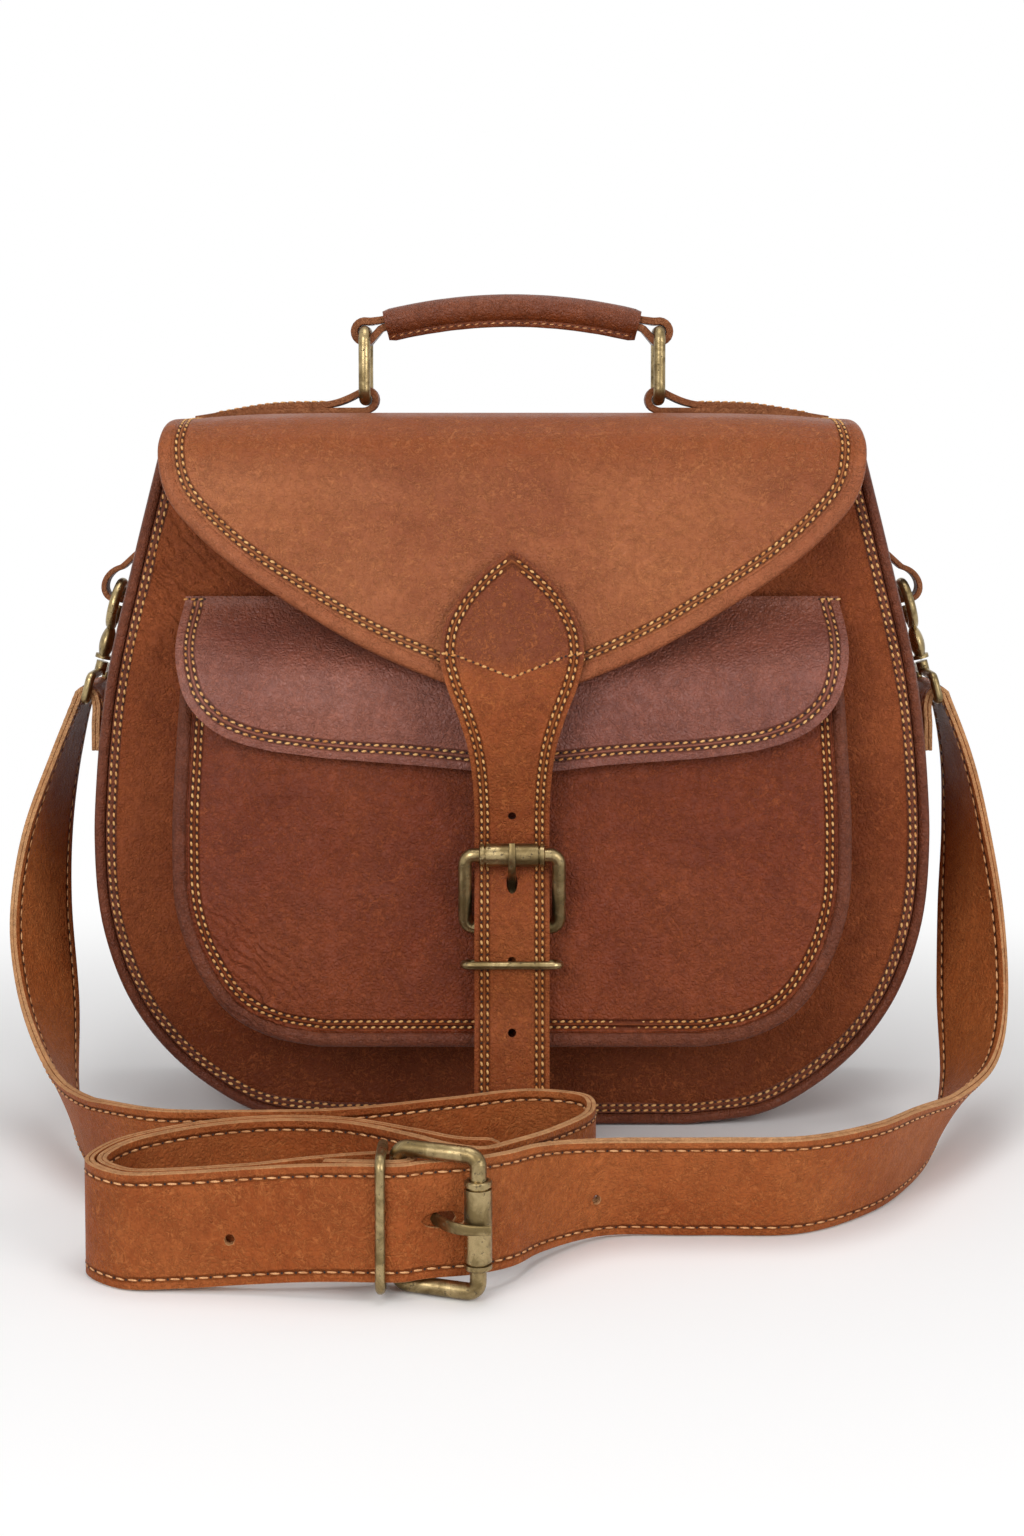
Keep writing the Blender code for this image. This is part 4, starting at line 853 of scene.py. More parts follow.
def panel(name, front, top):
    inside = [(max(x, 0.0), z) for x, z in set_in(bag_half, RIM_WIDE - UNDER_RIM)]
    inside[0] = (0.0, inside[0][1])
    half = cropped(inside, top)
    return cut_sheet(name, half, panel_lay(front), 0.0034, LEATHER, BODY_HIDE, "bag")


panel("front_panel", True, BAG_TALL - MOUTH_DROP)
panel("back_panel", False, UNDER_HINGE)

RIM_ROWS = (0.0060, 0.0081)
RIM_SECTION = edge_section(RIM_WIDE, -RIM_DEEP / 2, RIM_DEEP / 2, RIM_ROWS, 0.0009)
for name, front, half in (("front_rim", True, bag_half), ("back_rim", False, cropped(bag_half, UNDER_HINGE))):
    line = both_sides(half)
    moulding(name, line, RIM_SECTION, bag_face(front), RIM_HIDE, "bag")
    level = RIM_DEEP / 2 - RIM_SEAM_SINK
    rows = [laid_line(set_in(line, inset), bag_face(front), level) for inset in RIM_ROWS]
    sew(name + "_seam", rows, "bag", 0.0033)
print("panels and rims")

# %% [markdown]
# ## The gusset
# One strip makes both sides and the bottom. It is the floor that the bag stands on, and it bows in a little
# where nothing stiffens it.

# %% Gusset
def gusset_line():
    rise = LEATHER / 2
    middle = [(x * GUSSET_SHRINK, rise + z * (BAG_TALL - rise) / BAG_TALL) for x, z in bag_half]
    return both_sides(cropped(middle, BAG_TALL - MOUTH_DROP))


def smooth_step(low, high, value):
    t = min(max((value - low) / (high - low), 0.0), 1.0)
    return t * t * (3 - 2 * t)


def gusset():
    line = gusset_line()
    reach = BAG_DEEP / 2 - RIM_DEEP - FIT
    columns = 18

    def place(u, v):
        x, z = line[round(v * (len(line) - 1))]
        hollow = 1 - (2 * u - 1) ** 2
        bow = hollow * smooth_step(*HOLLOW_FROM, z) * (1 - smooth_step(*HOLLOW_TO, z))
        y = reach * (2 * u - 1)
        return (x - math.copysign(GUSSET_HOLLOW * bow + soft((x, y, z), 0.0006, 30.0) * hollow * bow, x), y, z)

    bm = grid_skin(columns, len(line) - 1, place)
    thicken(finished("gusset", bm, BODY_HIDE, "bag", ["gusset"]), LEATHER, FOLD_ROUNDING)


gusset()
print("gusset")

# %% [markdown]
# ## The front pocket
# The pocket is a smaller pouch with the same kind of edge. Its face leans back towards the mouth, so every part
# of it is laid out on that leaning face. The corner low on the left is the most handled: it is puckered.

# %% Pocket
POCKET_HALF = 0.1315
POCKET_BOTTOM = 0.0415
POCKET_TALL = 0.150
POCKET_FOOT = 0.038
POCKET_MOUTH = 0.017
POCKET_RIM = 0.0060
POCKET_RIM_DEEP = 0.0046
POCKET_PROUD = 0.0014
TUCKED_UNDER = 0.0005
POCKET_SHARES = (
    (0.0, 0.0), (0.56, 0.0), (0.70, 0.024), (0.82, 0.078), (0.92, 0.190), (0.985, 0.340),
    (1.0, 0.520), (0.993, 0.740), (0.975, 1.0),
)
POCKET_LEAN = math.atan2(POCKET_FOOT - POCKET_MOUTH, POCKET_TALL)
FRONT_FACE = -BAG_DEEP / 2 + RIM_PROUD
pocket_half = [(x * POCKET_HALF, z * POCKET_TALL) for x, z in POCKET_SHARES]
pocket_half = pocket_half[:1] + curve_through(pocket_half[1:], 8)

POCKET_HIDE = leather("pocket_hide", (0.178, 0.032, 0.009), (0.093, 0.015, 0.005), (0.322, 0.078, 0.023),
                      0.36, 0.46, 0.07, rows=(0.0021, 0.0043), shine=0.14,
                      puckers=(((-0.104, -0.078, 0.072), 0.050, 110.0, 2.2), ((0.112, -0.075, 0.12), 0.03, 120.0, 0.7)))


def on_pocket(x, up, out):
    y = FRONT_FACE - POCKET_FOOT + up * math.sin(POCKET_LEAN) - out * math.cos(POCKET_LEAN)
    z = POCKET_BOTTOM + up * math.cos(POCKET_LEAN) + out * math.sin(POCKET_LEAN)
    return Vector((x, y, z))


def pocket_face(x, up, out):
    """The pocket's leather: it bellies between its edge and the buckle's short strap."""
    clear = smooth_step(0.020, 0.050, abs(x)) * smooth_step(0.0, 0.03, POCKET_HALF - abs(x))
    belly = 0.0012 * clear * math.sin(math.pi * min(max(up / POCKET_TALL, 0.0), 1.0))
    return on_pocket(x, up, out - LEATHER / 2 + belly + soft((x, up, 0.0), 0.0007, 36.0, 7.0) * clear)


pocket_in = set_in(pocket_half, POCKET_RIM - TUCKED_UNDER)
pocket_in = [(0.0, pocket_in[0][1])] + pocket_in[1:-1] + [(pocket_in[-1][0], POCKET_TALL)]
cut_sheet("pocket_front", pocket_in, pocket_face, 0.0026, LEATHER, POCKET_HIDE, "bag")
POCKET_ROWS = (0.0076, 0.0098)
POCKET_LOW = POCKET_PROUD - POCKET_RIM_DEEP
POCKET_SECTION = edge_section(POCKET_RIM, POCKET_LOW, POCKET_PROUD, (0.0070,), 0.0007)
pocket_line = both_sides(pocket_half)
moulding("pocket_rim", pocket_line, POCKET_SECTION, on_pocket, RIM_HIDE, "bag")
pocket_seams = [laid_line(set_in(pocket_line, row), pocket_face, LEATHER / 2) for row in POCKET_ROWS]
sew("pocket_seam", pocket_seams, "bag", 0.0031)


def pocket_gusset():
    wall = set_in(pocket_half, POCKET_RIM / 2)
    wall[0] = (0.0, wall[0][1])
    line = both_sides(wall)

    def place(u, v):
        x, up = line[round(v * (len(line) - 1))]
        near = on_pocket(x, up, POCKET_LOW - FIT)
        far = Vector((near.x, FRONT_FACE - FIT, near.z))
        return near.lerp(far, u)

    bm = grid_skin(8, len(line) - 1, place)
    wall = finished("pocket_gusset", bm, BODY_HIDE, "bag", ["pocket_gusset"])
    thicken(wall, LEATHER, FOLD_ROUNDING)


pocket_gusset()
print("pocket")

# %% [markdown]
# ## The pocket flap
# A short flap of a darker, polished hide covers the pocket's mouth. It is sewn flat along its top and bends out
# over the pocket. Two close rows of stitches follow its edge, and its surface shines most of all the leather.

# %% Pocket flap
SMALL_THICK = 0.0026
SMALL_HALF = 0.1305
SMALL_SEAM = 0.2125
SMALL_DROP = 0.063
SMALL_STAND_OFF = 0.0275
SMALL_PROFILE = ((0.0, 0.0), (0.03, 0.06), (0.20, 0.16), (0.52, 0.28), (0.82, 0.42), (0.95, 0.62), (1.0, 1.0))
SMALL_SIDES = (
    (0.0, 0.985), (0.20, 1.0), (0.50, 0.99), (0.68, 0.955), (0.81, 0.885), (0.90, 0.775), (0.95, 0.62), (1.0, 0.27),
    (1.035, 0.09),
)
SMALL_ROWS = (0.0040, 0.0066)
# The pocket flap's plum-grey colours are partly its own tone and partly painted sheen; towards the top its tint turns
# browner, with less of that painted sheen.
SMALL_HIDE = leather("pocket_flap_hide", (0.218, 0.063, 0.040), (0.110, 0.030, 0.021), (0.390, 0.130, 0.076),
                     0.33, 0.40, 0.14, rows=SMALL_ROWS, shade_sheen_and_tone_by_height=((0.198, 0.212, (0.190, 0.045, 0.013), 0.6),), shine=0.30)
small_top = FRONT_FACE - FIT - SMALL_THICK / 2
small_profile = Profile(curve_through(
    [(small_top - a * SMALL_STAND_OFF, SMALL_SEAM - b * SMALL_DROP) for a, b in SMALL_PROFILE], 8))
small_half = curve_through([(wide * SMALL_HALF, along * small_profile.long) for along, wide in SMALL_SIDES], 8)


def small_lay(x, s, out):
    free = smooth_step(0.01, 0.06, s)
    wave = free * (soft((x, 0.0, s), 0.0010, 26.0, 11.0) + 0.0007 * math.sin(x * 95.0) * free)
    y, z = small_profile.at(s, out + wave)
    return Vector((x, y, z))


small_line = all_round(small_half)
cut_sheet("pocket_flap", small_half, small_lay, 0.0026, SMALL_THICK, SMALL_HIDE, "small_flap",
          edge_line=small_line)
small_seams = [laid_line(set_in(small_line, row), small_lay, SMALL_THICK / 2) for row in SMALL_ROWS]
sew("pocket_flap_seam", small_seams, "small_flap", 0.0033)
tacks = [[(side * (SMALL_HALF - 0.0012 - 0.0007 * i), 0.0012) for i in range(14)] for side in (-1, 1)]
sew("pocket_flap_tack", [laid_line(line, small_lay, SMALL_THICK / 2) for line in tacks], "small_flap", 0.0026)
print("pocket flap")

# %% [markdown]
# ## The main flap
# The flap starts at its hinge, just above the back panel, runs over the opening and falls down the front to a
# blunt point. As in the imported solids, its back edge stands 2.6 mm or more clear of the panel, where the real
# flap is sewn on.
#
# Its field is a creased, oiled hide. Round its free edge runs a smooth raised band, paler because hands polish it,
# and just inside the band are two rows of cream stitches.

# %% Flap
FLAP_HALF = 0.1378
FLAP_THICK = 0.0030
FLAP_TIP = 0.1735
FLAP_TOP = 0.2850
FLAP_LEAN = 0.0345
FLAP_DROOP = 0.0040
BAND_WIDE = 0.0060
BAND_THICK = 0.0052
FLAP_OVER = ((0.0, 0.0), (0.02, 0.45), (0.10, 0.88), (0.28, 0.99), (0.5, 1.0),
             (0.74, 0.995), (0.94, 0.955), (1.04, 0.86), (1.085, 0.74))
FLAP_DOWN = ((0.30, 0.35), (0.62, 0.68), (1.0, 1.0))
FLAP_SIDES = ((0.0, 0.994), (0.10, 1.0), (0.25, 0.975), (0.40, 0.885), (0.527, 0.770), (0.667, 0.600),
              (0.790, 0.430), (0.905, 0.220), (0.975, 0.065))
FLAP_ROWS = (0.0074, 0.0097)
FLAP_RISE = FLAP_TOP - FLAP_THICK / 2 - BAG_TALL
# Towards the top the flap and its band turn darker and more orange: partly the hide's own tone, partly painted shade
# that holds back the top lamp's light.
FLAP_HIDE = leather("flap_hide", SADDLE_TAN, SADDLE_DEEP, SADDLE_BRIGHT, 0.42, 0.46, 0.06, rows=FLAP_ROWS,
                    shade_sheen_and_tone_by_height=((0.254, 0.276, (0.230, 0.052, 0.010), 0.80),), shine=0.14)
BAND_HIDE = leather("flap_band_hide", (0.310, 0.096, 0.040), (0.230, 0.062, 0.025), (0.440, 0.160, 0.066), 0.38, 0.25,
                    0.05, clouds=0.7, shade_sheen_and_tone_by_height=((0.256, 0.276, (0.260, 0.066, 0.016), 0.6),))


def flap_line(steps):
    """The flap seen from the side, as (y, z) from the hinge to the tip."""
    back = BAG_DEEP / 2 - RIM_PROUD
    top = [(back * (1 - 2 * a), BAG_TALL + b * FLAP_RISE) for a, b in FLAP_OVER]
    low_y, low_z = top[-1]
    front = [(low_y - b * FLAP_LEAN, low_z - a * (low_z - FLAP_TIP)) for a, b in FLAP_DOWN]
    return curve_through(top + front, steps)


flap_profile = Profile(flap_line(8))
FLAP_FRONT_FROM = next(s for (y, z), s in zip(flap_profile.points, flap_profile.gone) if y < -BAG_DEEP / 2)


def flap_outline():
    gone = flap_profile.gone
    falling = [(s, -p.y) for p, s in zip(flap_profile.points, gone) if s >= FLAP_FRONT_FROM]
    top = [(FLAP_SIDES[0][1] * FLAP_HALF, FLAP_FRONT_FROM * i / 20) for i in range(21)]
    lower = [top[-1]]
    for along, wide in FLAP_SIDES[1:]:
        s = width_at(falling, along * (FLAP_TOP - FLAP_TIP) - FLAP_TOP)
        if s > lower[-1][1]:
            lower.append((wide * FLAP_HALF, s))
    return top[:-1] + curve_through(lower, 8)


def droop(x, y, z):
    risen = min((z - BAG_TALL) / FLAP_RISE, 1.0) if y > 0 else 1.0
    return FLAP_DROOP * risen * abs(x / FLAP_HALF) ** 6


def flap_lay(x, s, out):
    free = smooth_step(FLAP_FRONT_FROM - 0.01, FLAP_FRONT_FROM + 0.03, s) * smooth_step(0.024, 0.05, abs(x))
    wave = free * soft((x, 0.0, s), 0.0016, 22.0, 5.0)
    y, z = flap_profile.at(s, out + wave)
    return Vector((x, y, z - droop(x, y, z)))


flap_half = flap_outline()
flap_edge = all_round(flap_half)
field_half = [flap_half[0]]
for x, s in set_in(flap_half, BAND_WIDE - TUCKED_UNDER):
    if s > field_half[-1][1]:
        field_half.append((max(x, 0.0), s))
field_half[0] = (field_half[1][0], 0.0)
cut_sheet("main_flap", field_half, flap_lay, 0.0026, FLAP_THICK, FLAP_HIDE, "flap",
          edge_line=flap_edge)
low = -BAND_THICK / 2
band = [(BAND_WIDE / 2 - BAND_WIDE / 2 * math.cos(math.pi * i / 12),
         low + 0.0012 + (BAND_THICK - 0.0014) * math.sin(math.pi * i / 12) ** 0.5) for i in range(13)]
band += [(BAND_WIDE * 0.8, low), (BAND_WIDE * 0.2, low)]
moulding("flap_binding", flap_edge, band, flap_lay, BAND_HIDE, "flap")
sew("flap_seam", [laid_line(set_in(flap_edge, row), flap_lay, FLAP_THICK / 2) for row in FLAP_ROWS], "flap", 0.0032)
print("flap")

# %% [markdown]
# ## The closure strap
# A pointed patch on the flap narrows to a waist and then runs on as an even strap, down through the buckle and
# the keeper. Its edge is dyed dark, two rows of stitches follow the patch, and small round holes take the prong.

# %% Closure strap
STRAP_THICK = 0.0030
CLOSURE_WIDE = 0.0284
PATCH_TIP = 0.2330
PATCH_WIDE = 0.0545
CLOSURE_END = 0.0130
CLOSURE_ROUND = 0.009
ROUND_LONG = 0.010
VEE_HALF = 0.0195
VEE_TOP = 0.192
VEE_FOOT = 0.1845
TACK_HEIGHT = 0.1935
TACK_HALF = 0.0265
PATCH_SHARES = ((0.0, -1.04), (0.093, -0.13), (0.193, 0.535), (0.312, 0.945), (0.404, 1.0), (0.50, 0.835),
                (0.62, 0.475), (0.742, 0.19), (0.862, 0.06), (1.0, 0.0))
NECK = 0.1330
CLOSURE_HOLE = 0.0032
HOLE_PITCH = 0.0282
UPPER_HOLE_SHARE = 0.57
CHAPE_JOINED_SHARE = 0.85
SLOT_LONG = 0.0085
SLOT_WIDE = 0.0042
CHAPE_WIDE = 0.0274
CHAPE_THICK = 0.0017
CHAPE_FOOT = 0.0075
CHAPE_JOINED = 0.0240
BUCKLE_WIRE = 0.0053
BUCKLE_WIDE = 0.0412
BARS_APART = 0.0278
BAR_UP = 0.0462
BUCKLE_CORNER = 0.0036
ROLLER_RADIUS = 0.0044
ROLLER_LONG = 0.0250
ROLLER_OUT = 0.0142
RUNNING_FIT = 0.0003
PRONG_SHARES = ((0.14, -0.06), (0.28, -0.13), (0.42, -0.15), (0.53, -0.10), (0.64, 0.12), (0.74, 0.48),
                (0.86, 0.84), (1.0, 1.0), (1.16, 0.95))
PRONG_WIDE = 0.0033
PRONG_THICK = 0.0013
KEEPER_WIRE = 0.0030
KEEPER_WIDE = 0.0395
KEEPER_UP = 0.0323
KEEPER_OUT = 0.0038

BAR_OUT = FIT + CHAPE_THICK + FIT + BUCKLE_WIRE / 2
CHAPE_FOLD = BUCKLE_WIRE / 2 + RUNNING_FIT + CHAPE_THICK / 2
OVER_BAR = BAR_OUT + CHAPE_FOLD + CHAPE_THICK / 2 + FIT + STRAP_THICK / 2
UNDER_ROLLER = ROLLER_OUT - ROLLER_RADIUS - 2 * FIT - STRAP_THICK / 2
ROLLER_UP = BAR_UP + BARS_APART
KEEPER_PLY = KEEPER_OUT + KEEPER_WIRE / 2 + FIT + CHAPE_THICK / 2
OVER_KEEPER_PLY = KEEPER_PLY + CHAPE_THICK / 2 + FIT + STRAP_THICK / 2
OVER_JOINED = 2 * (FIT + CHAPE_THICK) + FIT + STRAP_THICK / 2
HOLE_UP = ROLLER_UP - ROLLER_RADIUS - SLOT_LONG * 0.80

CLOSURE_ROWS = (0.0026, 0.0049)
# Above the V the patch turns darker and greyer: partly its own darker tone, partly painted sheen.
CLOSURE_HIDE = leather("closure_hide", (0.250, 0.056, 0.015), (0.130, 0.026, 0.009), (0.470, 0.145, 0.042),
                       0.40, 0.50, 0.04, rows=CLOSURE_ROWS, shade_sheen_and_tone_by_height=((0.1855, 0.1935, (0.150, 0.042, 0.022), 0.70),))
DARK_EDGE = leather("dyed_edge", (0.060, 0.020, 0.013), (0.030, 0.010, 0.008), (0.110, 0.036, 0.020), 0.34, 0.2, 0.3)


def closure_line():
    rough = flap_line(2)
    off = BAND_THICK / 2 + FIT + STRAP_THICK / 2
    on_flap = [tuple(Vector(p) - n * off) for p, n in zip(rough, side_ways(rough)) if p[1] < PATCH_TIP]
    leaning = ((ROLLER_UP, UNDER_ROLLER), (BAR_UP, OVER_BAR), (KEEPER_UP, OVER_KEEPER_PLY),
               (CHAPE_JOINED * CHAPE_JOINED_SHARE, OVER_JOINED), (0.0, OVER_JOINED + POCKET_PROUD))
    low = [tuple(on_pocket(0, up, out)[1:]) for up, out in leaning]
    return curve_through(on_flap + low + [(low[-1][0], CLOSURE_END)], 8)


closure_profile = Profile(closure_line())
closure_falling = [(s, -p.y) for p, s in zip(closure_profile.points, closure_profile.gone)]


def closure_at(z):
    """The length along the closure strap at a height."""
    return width_at(closure_falling, -z)


def closure_lay(x, s, out):
    y, z = closure_profile.at(s, out - 0.0006 * (x / 0.0142) ** 2 * smooth_step(0.08, 0.10, s))
    return Vector((x, y, z))


def closure_outline():
    top = closure_profile.points[0].y
    swell = PATCH_WIDE - CLOSURE_WIDE
    widths = [(CLOSURE_WIDE + swell * wide, at * (top - NECK) - top) for at, wide in PATCH_SHARES]
    found = [(wide / 2, closure_at(-depth)) for wide, depth in curve_through(widths, 8)]
    start, end = found[-1][1], closure_profile.long - ROUND_LONG
    found += [(CLOSURE_WIDE / 2, start + (end - start) * i / 40) for i in range(1, 41)]
    return found + arc((CLOSURE_WIDE / 2 - CLOSURE_ROUND, end), CLOSURE_ROUND, 0, 80, 6)[1:]


closure_half = closure_outline()
closure_edge = [(-x, s) for x, s in reversed(closure_half)] + closure_half
closure_holes = [(0.0, closure_at(on_pocket(0, HOLE_UP, OVER_BAR).z), SLOT_WIDE, SLOT_LONG)]
for up in (ROLLER_UP + HOLE_PITCH * UPPER_HOLE_SHARE, HOLE_UP - HOLE_PITCH, HOLE_UP - 2 * HOLE_PITCH):
    closure_holes.append((0.0, closure_at(on_pocket(0, up, OVER_JOINED).z), CLOSURE_HOLE, CLOSURE_HOLE))
cut_sheet("closure_strap", closure_half, closure_lay, 0.0012, STRAP_THICK, CLOSURE_HIDE, "flap",
          edge_line=closure_edge, holes=closure_holes, edge=DARK_EDGE)


def inset_lines(half, inset, start, end):
    """A line on each side of a strap, set in from its edge between two lengths."""
    right = [p for p in set_in(half, inset) if start <= p[1] <= end and p[0] > 0.0004]
    return [right, [(-x, s) for x, s in right]]


patch_rows = inset_lines(closure_half, CLOSURE_ROWS[0], 0.004, closure_profile.long - 0.012)
patch_rows += inset_lines(closure_half, CLOSURE_ROWS[1], 0.008, closure_profile.long - 0.012)
vee = [(-VEE_HALF, closure_at(VEE_TOP)), (0.0, closure_at(VEE_FOOT)), (VEE_HALF, closure_at(VEE_TOP))]
patch_rows.append([tuple(Vector(vee[i]).lerp(Vector(vee[i + 1]), t / 5)) for i in (0, 1) for t in range(5)] + [vee[2]])
tack_at = closure_at(TACK_HEIGHT)
patch_rows += [[(side * (TACK_HALF - 0.0010 * i), tack_at + 0.0002 * i) for i in range(8)] for side in (-1, 1)]
sew("closure_seam", [laid_line(line, closure_lay, STRAP_THICK / 2) for line in patch_rows], "flap", 0.0031)


def chape():
    inner = FIT + CHAPE_THICK / 2
    joined = inner + CHAPE_THICK + FIT
    path = [(CHAPE_FOOT, inner), (BAR_UP, inner)]
    path += arc((BAR_UP, BAR_OUT), CHAPE_FOLD, -90, 90, 16)[1:]
    path += [(KEEPER_UP, KEEPER_PLY), (CHAPE_JOINED, joined), (CHAPE_FOOT, joined)]
    profile = Profile(path)
    middle = (BAR_UP - CHAPE_FOOT) + CHAPE_FOLD * math.pi / 2
    slot = (0.0, middle, PRONG_WIDE + 4 * FIT, CHAPE_FOLD * math.pi + 0.004)

    def lay(x, s, out):
        up, off = profile.at(s, out)
        return on_pocket(x, up, off)

    half = [(CHAPE_WIDE / 2, 0.0), (CHAPE_WIDE / 2, profile.long)]
    cut_sheet("closure_chape", half, lay, 0.0011, CHAPE_THICK, CLOSURE_HIDE, "bag", holes=[slot],
              rounding=0.0004)


chape()
print("closure strap", round(closure_profile.long, 3), "m long")

# %% [markdown]
# ## Buckles, rollers, prongs and keepers
# Both buckles are the same sort: a bent rod frame, a roller on the far bar so that the strap runs easily, and a
# flat prong curled round the near bar. A roller is sheet brass rolled into a tube, so it shows a dark line near
# each end. A rod is a circle carried along its bend, and a roller is its section turned about its axis.

# %% Closure buckle
ROLLER_END = ((0.0, -0.0005), (0.0004, 0.0), (0.0018, 0.0), (0.0020, -0.0009), (0.0025, -0.0009), (0.0027, 0.0))


def roller(name, start, end, outer, bore, body):
    """A rolled tube between two places: its section is turned round its axis."""
    start, end = Vector(start), Vector(end)
    long = (end - start).length / 2
    side = [(-long + along, outer + step) for along, step in ROLLER_END]
    section = side + [(-a, r) for a, r in reversed(side)] + [(long, bore), (-long, bore)]
    bm = bmesh.new()
    corners = [bm.verts.new((a, 0.0, r)) for a, r in section]
    edges = [bm.edges.new(pair) for pair in zip(corners, corners[1:] + corners[:1])]
    bmesh.ops.spin(bm, geom=corners + edges, cent=(0, 0, 0), axis=(1, 0, 0), angle=math.tau, steps=32, use_merge=True)
    sealed(bm, False)
    turn = Vector((1, 0, 0)).rotation_difference(end - start).to_matrix().to_4x4()
    bmesh.ops.transform(bm, matrix=Matrix.Translation((start + end) / 2) @ turn, verts=bm.verts)
    return fitting(name, bm, body, 40)


def prong(name, path, wide, body, side):
    """A flat prong with softened corners along its bend, narrower at its tip."""
    stations = stations_on(path, side=side)
    last = len(stations) - 1
    sections = []
    for i in range(len(stations)):
        slim = 1.0 - 0.25 * smooth_step(last * 0.75, last, i)
        sections.append([(a * slim, b) for a, b in rounded_rectangle(wide, PRONG_THICK, PRONG_THICK * 0.42, 3)])
    return fitting(name, swept(stations, sections), body)


def frame_point(x, up):
    share = up / BARS_APART
    return on_pocket(x, BAR_UP + up, BAR_OUT + share * (ROLLER_OUT - BAR_OUT))


loop = rounded_rectangle(BUCKLE_WIDE - BUCKLE_WIRE, BARS_APART, BUCKLE_CORNER, 8)
wire("closure_buckle_frame", [frame_point(x, up + BARS_APART / 2) for x, up in loop], BUCKLE_WIRE / 2,
     "closure_frame", closed=True)
ends = [on_pocket(side * ROLLER_LONG / 2, ROLLER_UP, ROLLER_OUT) for side in (-1, 1)]
roller("closure_roller", *ends, ROLLER_RADIUS, BUCKLE_WIRE / 2 + RUNNING_FIT, "closure_roll")
eye = BUCKLE_WIRE / 2 + RUNNING_FIT + PRONG_THICK / 2
over = ROLLER_RADIUS + 2 * FIT + PRONG_THICK / 2
prong_line = arc((BAR_UP, BAR_OUT), eye, 390, 90, 20)
lift = ROLLER_OUT + over - BAR_OUT - eye
free = [(BAR_UP + up * BARS_APART, BAR_OUT + eye + out * lift) for up, out in PRONG_SHARES]
prong_line += curve_through([prong_line[-1]] + free, 3)[1:]
prong("closure_prong", [on_pocket(0, up, out) for up, out in prong_line], PRONG_WIDE, "closure_tongue",
      (1, 0, 0))
keeper_front = OVER_KEEPER_PLY + STRAP_THICK / 2 + 4 * FIT + KEEPER_WIRE / 2
loop = rounded_rectangle(KEEPER_WIDE - KEEPER_WIRE, keeper_front - KEEPER_OUT, KEEPER_WIRE, 8)
wire("closure_keeper", [on_pocket(x, KEEPER_UP, (keeper_front + KEEPER_OUT) / 2 + out) for x, out in loop],
     KEEPER_WIRE / 2, "closure_loop", closed=True)
print("closure buckle")

# %% [markdown]
# ## The handle
# Two upright rings stand in folded tabs whose ends taper along the top of the flap. A strip is folded round both
# rings, and a rolled sleeve covers its middle. The sleeve's seam hangs below it as a stitched fin.

# %% Rings, tabs and handle
RING_WIRE = 0.0048
RING_HIGH = 0.0325
RING_WIDE = 0.0260
RING_CORNER = 0.0045
SPAN = 0.0600
LOOP_WALL = 0.0022
LOOP_PLAY = 0.0005
LOOP_DEEP = 0.0118
HANDLE_RISE = 0.0085
SLEEVE_RADIUS = 0.0055
SLEEVE_HALF = 0.0520
FIN_LOW = 0.0024
FIN_WIDE = 0.0030
FIN_CORNER = 0.0006
FIN_SEAM_UP = 0.0016
TAB_LONG = 0.0700
TAB_WIDE = 0.0220
TAB_TIP = 0.0040
TAB_RISE = ((0.07, 0.90), (0.16, 0.25))
HANDLE_END_UP = 0.0015
HANDLE_PLY = 0.0030
SLEEVE_INSIDE = 0.0030
PLY_CONTACT = 0.0002
LOWER_SINK = 0.0012
UPPER_SINK = 0.0030
TAB_SEAM_INSET = 0.0022
TAB_SEAM_FROM = 0.017
TAB_SEAM_STEP = 0.005
CORE_WIDE = 0.0052
LOOP_FOLD = RING_WIRE / 2 + LOOP_PLAY + LOOP_WALL / 2
RING_FOOT = FLAP_TOP + FIT + LOOP_FOLD + LOOP_WALL / 2
RING_TOP = RING_FOOT + RING_HIGH - RING_WIRE
TAB_HIDE = leather("tab_hide", (0.190, 0.048, 0.016), (0.100, 0.024, 0.009), (0.370, 0.115, 0.038), 0.42, 0.5, 0.03)
RAW_EDGE = leather("raw_edge", (0.260, 0.085, 0.032), (0.105, 0.032, 0.014), (0.480, 0.210, 0.095), 0.60, 0.4, 0.0)
SLEEVE_HIDE = leather("sleeve_hide", (0.152, 0.032, 0.008), (0.084, 0.017, 0.005), (0.280, 0.074, 0.021),
                      0.32, 0.22, 0.12, shine=0.22)


